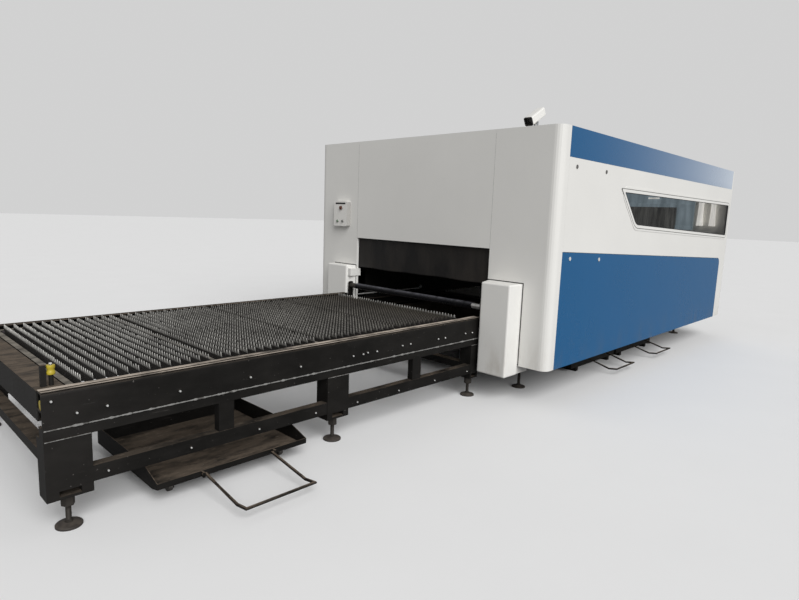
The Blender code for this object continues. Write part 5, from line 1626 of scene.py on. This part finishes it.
@dataclass
class RoofCamera:
    """The camera on the roof: its dark front and the lens."""

    axis: tuple[float, float, float] = (-0.457, -1.130, 2.441)
    rise: float = 0.055
    length: float = 0.225
    hood: float = 0.030
    tilt: float = 30.0
    half: tuple[float, float] = (0.039, 0.037)
    corner: float = 0.012
    wall: float = 0.006
    rim: tuple[float, float, float] = (0.0008, 0.003, 0.005)
    plate: float = 0.0025
    lens: Profile = ((0.0, 0.0), (0.0, 0.026), (0.010, 0.0255), (0.012, 0.024), (0.012, 0.019), (0.004, 0.016),
                     (0.006, 0.010), (0.0075, 0.0))

    def _outline(self, grow: float) -> Outline:
        """The housing's outline across its length, grown all round."""
        wide, high = (edge - self.corner for edge in self.half)
        radius = self.corner + grow
        points = []
        for quarter, (side, level) in enumerate(((1, 1), (1, -1), (-1, -1), (-1, 1))):
            for step in range(4):
                angle = math.radians(90 - 90 * quarter - 30 * step)
                points.append((side * wide + radius * math.cos(angle),
                               self.rise + level * high + radius * math.sin(angle)))
        return points

    def _front(self, turn: Matrix) -> None:
        """Makes the dark rim, the sleeve and the plate of the hood."""
        proud, ahead, behind = self.rim
        nose = -self.length / 2
        floor = nose + self.hood
        bore = self._outline(-self.wall - proud)
        front = Mould().collar(Axis.X, self._outline(proud), bore, nose - ahead, nose + behind)
        front.collar(Axis.X, self._outline(-self.wall + proud), bore, nose + behind, floor)
        front.drawn(Axis.X, self._outline(-self.wall + proud / 2), floor - self.plate, floor + proud)
        front.points = [turn @ point for point in front.points]
        front.piece("camera_front", Finish.BLACK_PLASTIC, "camera", "black")

    def build(self) -> None:
        """Makes the front of the hood and the lens."""
        turn = Matrix.Translation(Vector(self.axis)) @ Matrix.Rotation(-math.radians(self.tilt), 4, "Y")
        aim = (turn.to_3x3() @ Vector((-1, 0, 0))).normalized()
        self._front(turn)
        face = turn @ Vector((-self.length / 2 + self.hood, 0, self.rise))
        lens = Mould().turned(face, aim, self.lens, 40)
        lens.piece("camera_lens", Finish.BLACK_PLASTIC, "camera", "black")
        repaint(Finish.GREY, "camera_bracket")
        repaint(Finish.WHITE, "roof_camera", edge=0.002)


@dataclass
class ScrapPans:
    """The scrap tray, the drawers and their pull handles."""

    def build(self) -> None:
        """Paints the pans and their handles."""
        repaint(Finish.BLACK, "scrap_tray", "scrap_drawer_1", "scrap_drawer_2", edge=0.001)
        repaint(Finish.BLACK, "scrap_tray_handle", "drawer_handle_1", "drawer_handle_2")
        repaint(Finish.DULL, "scrap_tray_wheels_front", "scrap_tray_wheels_rear")


@dataclass
class InnerWorks:
    """The bed, the gantry and the cutting head behind the covers, and what the window shows of the cabin."""

    back: float = 4.246
    lining: tuple[float, float] = (-1.06, 0.60)
    lining_low: float = 1.862
    lining_top: float = 2.250
    screen: tuple[float, float] = (-0.800, 0.600)
    screen_low: float = 1.300
    pleat: float = 0.062
    ducts: tuple[tuple[float, float], ...] = ((-1.162, 0.037), (-1.328, 0.034))
    duct_low: float = 1.600
    door: tuple[float, float] = (-1.060, -0.815)
    door_drop: float = 0.330
    lamp_y: tuple[float, float] = (-0.545, -0.385)
    lamp_z: float = 1.985
    chute: tuple[tuple[float, float], ...] = ((-0.840, 0.520), (-0.300, 0.330), (0.300, 0.330), (0.840, 0.520))
    chute_x: tuple[float, float] = (-0.620, 4.100)
    chute_sheet: float = 0.003
    strip_y: tuple[float, float] = (0.8895, 0.8965)
    strip_x: tuple[float, float] = (-0.690, 0.362)
    strip_z: tuple[float, float] = (0.688, 0.700)

    def _cabin(self) -> None:
        """The folded lining and the door below it, the lamp, the pleated screen and two duct covers."""
        x, low, top = self.back, self.lining_low, self.lining_top
        fold = [(x - 0.024, low), (x, low), (x, top), (x - 0.010, top), (x - 0.010, low + 0.060),
                (x - 0.024, low + 0.045)]
        Mould().drawn(Axis.Y, fold, *self.lining).piece("cabin_lining", Finish.LINING, MACHINE, "grey")
        shifted = [(along - 0.006, z - self.door_drop) for along, z in fold]
        Mould().drawn(Axis.Y, shifted, *self.door).piece("cabin_door", Finish.LINING, MACHINE, "grey")
        out, back, head = x - 0.050, x - 0.026, self.lamp_z + 0.022
        lamp = rounded([(out, self.lamp_z), (back, self.lamp_z), (back, head), (out, head)], [0.006] * 4)
        Mould().drawn(Axis.Y, lamp, *self.lamp_y).piece("cabin_lamp", Finish.DUCT, MACHINE, "white")
        start, end = self.screen
        count = int((end - start) / self.pleat) * 2
        step = (end - start) / count
        front = [(x - (0.030 if index % 2 else 0.004), start + step * index) for index in range(count + 1)]
        back = [(along + 0.003, y) for along, y in reversed(front)]
        screen = Mould().drawn(Axis.Z, front + back, self.screen_low, low)
        screen.piece("cabin_screen", Finish.SCREEN, MACHINE, "black")
        ducts = Mould()
        for y, radius in self.ducts:
            profile = [(0.0, 0.0), (0.0, radius * 1.3), (0.05, radius * 1.15), (0.16, radius), (0.30, radius * 0.92),
                       (0.31, radius), (0.36, radius), (0.36, 0.0)]
            ducts.turned((x - radius * 1.35, y, self.duct_low), (0, 0, 1), profile, 32)
        ducts.piece("cabin_ducts", Finish.DUCT, MACHINE, "white", smooth=50)

    def _chute(self) -> None:
        """The folded scrap chute that closes the bed under the pallets."""
        under = [(y, z - self.chute_sheet) for y, z in self.chute]
        chute = Mould().drawn(Axis.X, under + list(reversed(self.chute)), *self.chute_x)
        chute.piece("scrap_chute", Finish.INNER_BLACK, slot="black")

    def _strips(self) -> None:
        """The guide strips along the inner rails, each with a roller at its end; their bright zinc is partly a
        painted highlight along the rails' tops.
        """
        strips = Mould()
        for side in Side:
            low, high = side.span(*self.strip_y)
            strips.bar((self.strip_x[0], low, self.strip_z[0]), (self.strip_x[1], high, self.strip_z[1]))
            seat = (self.strip_x[1] + 0.020, side.value * self.strip_y[0], self.strip_z[1] + 0.012)
            strips.turned(seat, (0, side.value, 0), [(0.0, 0.0), (0.0, 0.020), (0.0015, 0.0215), (0.0055, 0.0215),
                                                     (0.007, 0.020), (0.007, 0.0)], 28)
        strips.piece("inner_guide_strips", Finish.ZINC, slot="steel", edge=0.0008)

    def build(self) -> None:
        """Makes the cabin's linings and paints what stands inside the covers."""
        self._cabin()
        self._chute()
        self._strips()
        repaint(Finish.INNER_BLACK, "machine_bed", edge=0.002)
        repaint(Finish.GREY, "cutting_head", edge=0.002)
        repaint(Finish.BLUE, "gantry_beam", edge=0.004)
        repaint(Finish.DULL, "cross_carriage", edge=0.002)


@dataclass
class Studio:
    """The floor, the backdrop colour, the lamp and the camera."""

    place: tuple[float, float, float] = (-4.969, -3.883, 1.603)
    yaw: float = 43.841
    pitch: float = -8.548
    roll: float = 2.1015
    lens: float = 25.613
    floor: Colour = (0.80, 0.80, 0.80)
    bounce: Colour = (0.30, 0.30, 0.30)
    sky: float = 0.36
    backdrop: float = 0.80
    reach: float = 80.0
    side_lamp: tuple[float, float, float] = (-0.30, -0.80, 0.62)
    side_spread: float = 50.0
    side_strength: float = 3.05

    def _camera(self) -> None:
        """The camera at the photograph's viewing angle."""
        yaw, pitch, roll = (math.radians(a) for a in (self.yaw, self.pitch, self.roll))
        ahead = Vector((math.cos(yaw) * math.cos(pitch), math.sin(yaw) * math.cos(pitch), math.sin(pitch)))
        right = Vector((math.sin(yaw), -math.cos(yaw), 0))
        up = right.cross(ahead)
        turned_right = math.cos(roll) * right + math.sin(roll) * up
        turned_up = math.cos(roll) * up - math.sin(roll) * right
        data = bpy.data.cameras.new("camera")
        data.lens = self.lens
        data.sensor_width = 36.0
        data.clip_end = 200.0
        item = bpy.data.objects.new("camera", data)
        axes = Matrix((turned_right, turned_up, -ahead)).transposed().to_4x4()
        item.matrix_world = Matrix.Translation(Vector(self.place)) @ axes
        bpy.context.scene.collection.objects.link(item)
        bpy.context.scene.camera = item

    def _lamp(self, name: str, source: Point, spread: float, strength: float) -> None:
        """A far soft lamp that lights every part of the machine alike.

        Args:
            name: the lamp's name.
            source: the direction that its light comes from.
            spread: how wide it looks, in degrees.
            strength: its light on a surface that faces it.
        """
        data = bpy.data.lights.new(name, "SUN")
        data.angle = math.radians(spread)
        data.energy = strength
        item = bpy.data.objects.new(name, data)
        item.location = Vector(source) * 8.0
        item.rotation_euler = Vector(source).to_track_quat("Z", "Y").to_euler()
        bpy.context.scene.collection.objects.link(item)

    def _floor(self) -> None:
        """A pale floor that sends little light back up onto the machine."""
        mesh = bpy.data.meshes.new("floor")
        far = self.reach
        mesh.from_pydata([(-far, -far, 0), (far, -far, 0), (far, far, 0), (-far, far, 0)], [], [(0, 1, 2, 3)])
        item = bpy.data.objects.new("floor", mesh)
        bpy.context.scene.collection.objects.link(item)
        mix = Recipe("pale floor")
        cloud = mix.noise(1.5, 3.0).between(0.3, 0.7)
        tone = mix.blend(cloud, shaded(self.floor, 0.985), self.floor)
        mix.surface(Base_Color=tone, Roughness=0.85, Specular_IOR_Level=0.2)
        dim = mix.node("ShaderNodeBsdfDiffuse", values={"Color": (*self.bounce, 1.0)})
        seen = mix.node("ShaderNodeLightPath", output="Is Camera Ray")
        both = mix.node("ShaderNodeMixShader", values={0: seen, 1: dim, 2: Wire(mix, mix.shader.outputs[0])})
        mix.finish("Material Output", both)
        item.data.materials.append(mix.material)

    def _world(self) -> None:
        """Soft light from all round, pale where the camera sees it."""
        world = bpy.data.worlds.new("studio")
        bpy.context.scene.world = world
        world.use_nodes = True
        mix = Graph(world.node_tree)
        mix.tree.nodes.remove(mix.tree.nodes["Background"])
        light = mix.node("ShaderNodeBackground", values={"Color": (1.0, 1.0, 1.0, 1.0), "Strength": self.sky})
        seen = mix.node("ShaderNodeBackground", values={"Color": (*self.floor, 1.0), "Strength": self.backdrop})
        path = mix.node("ShaderNodeLightPath", output="Is Camera Ray")
        mix.finish("World Output", mix.node("ShaderNodeMixShader", values={0: path, 1: light, 2: seen}))

    def build(self) -> None:
        """Sets the stage."""
        self._camera()
        self._floor()
        self._world()
        self._lamp("side lamp", self.side_lamp, self.side_spread, self.side_strength)
        bpy.context.scene.view_settings.view_transform = "Standard"


def main() -> None:
    """Builds the dressing in order."""
    PalletSlats().build()
    PalletFrames().build()
    TableFasteners().build()
    TableGuides().build()
    CoverPanels().build()
    Curtain().build()
    ControlBox().build()
    RoofCamera().build()
    ScrapPans().build()
    InnerWorks().build()
    Studio().build()


if __name__ == "__main__":
    main()
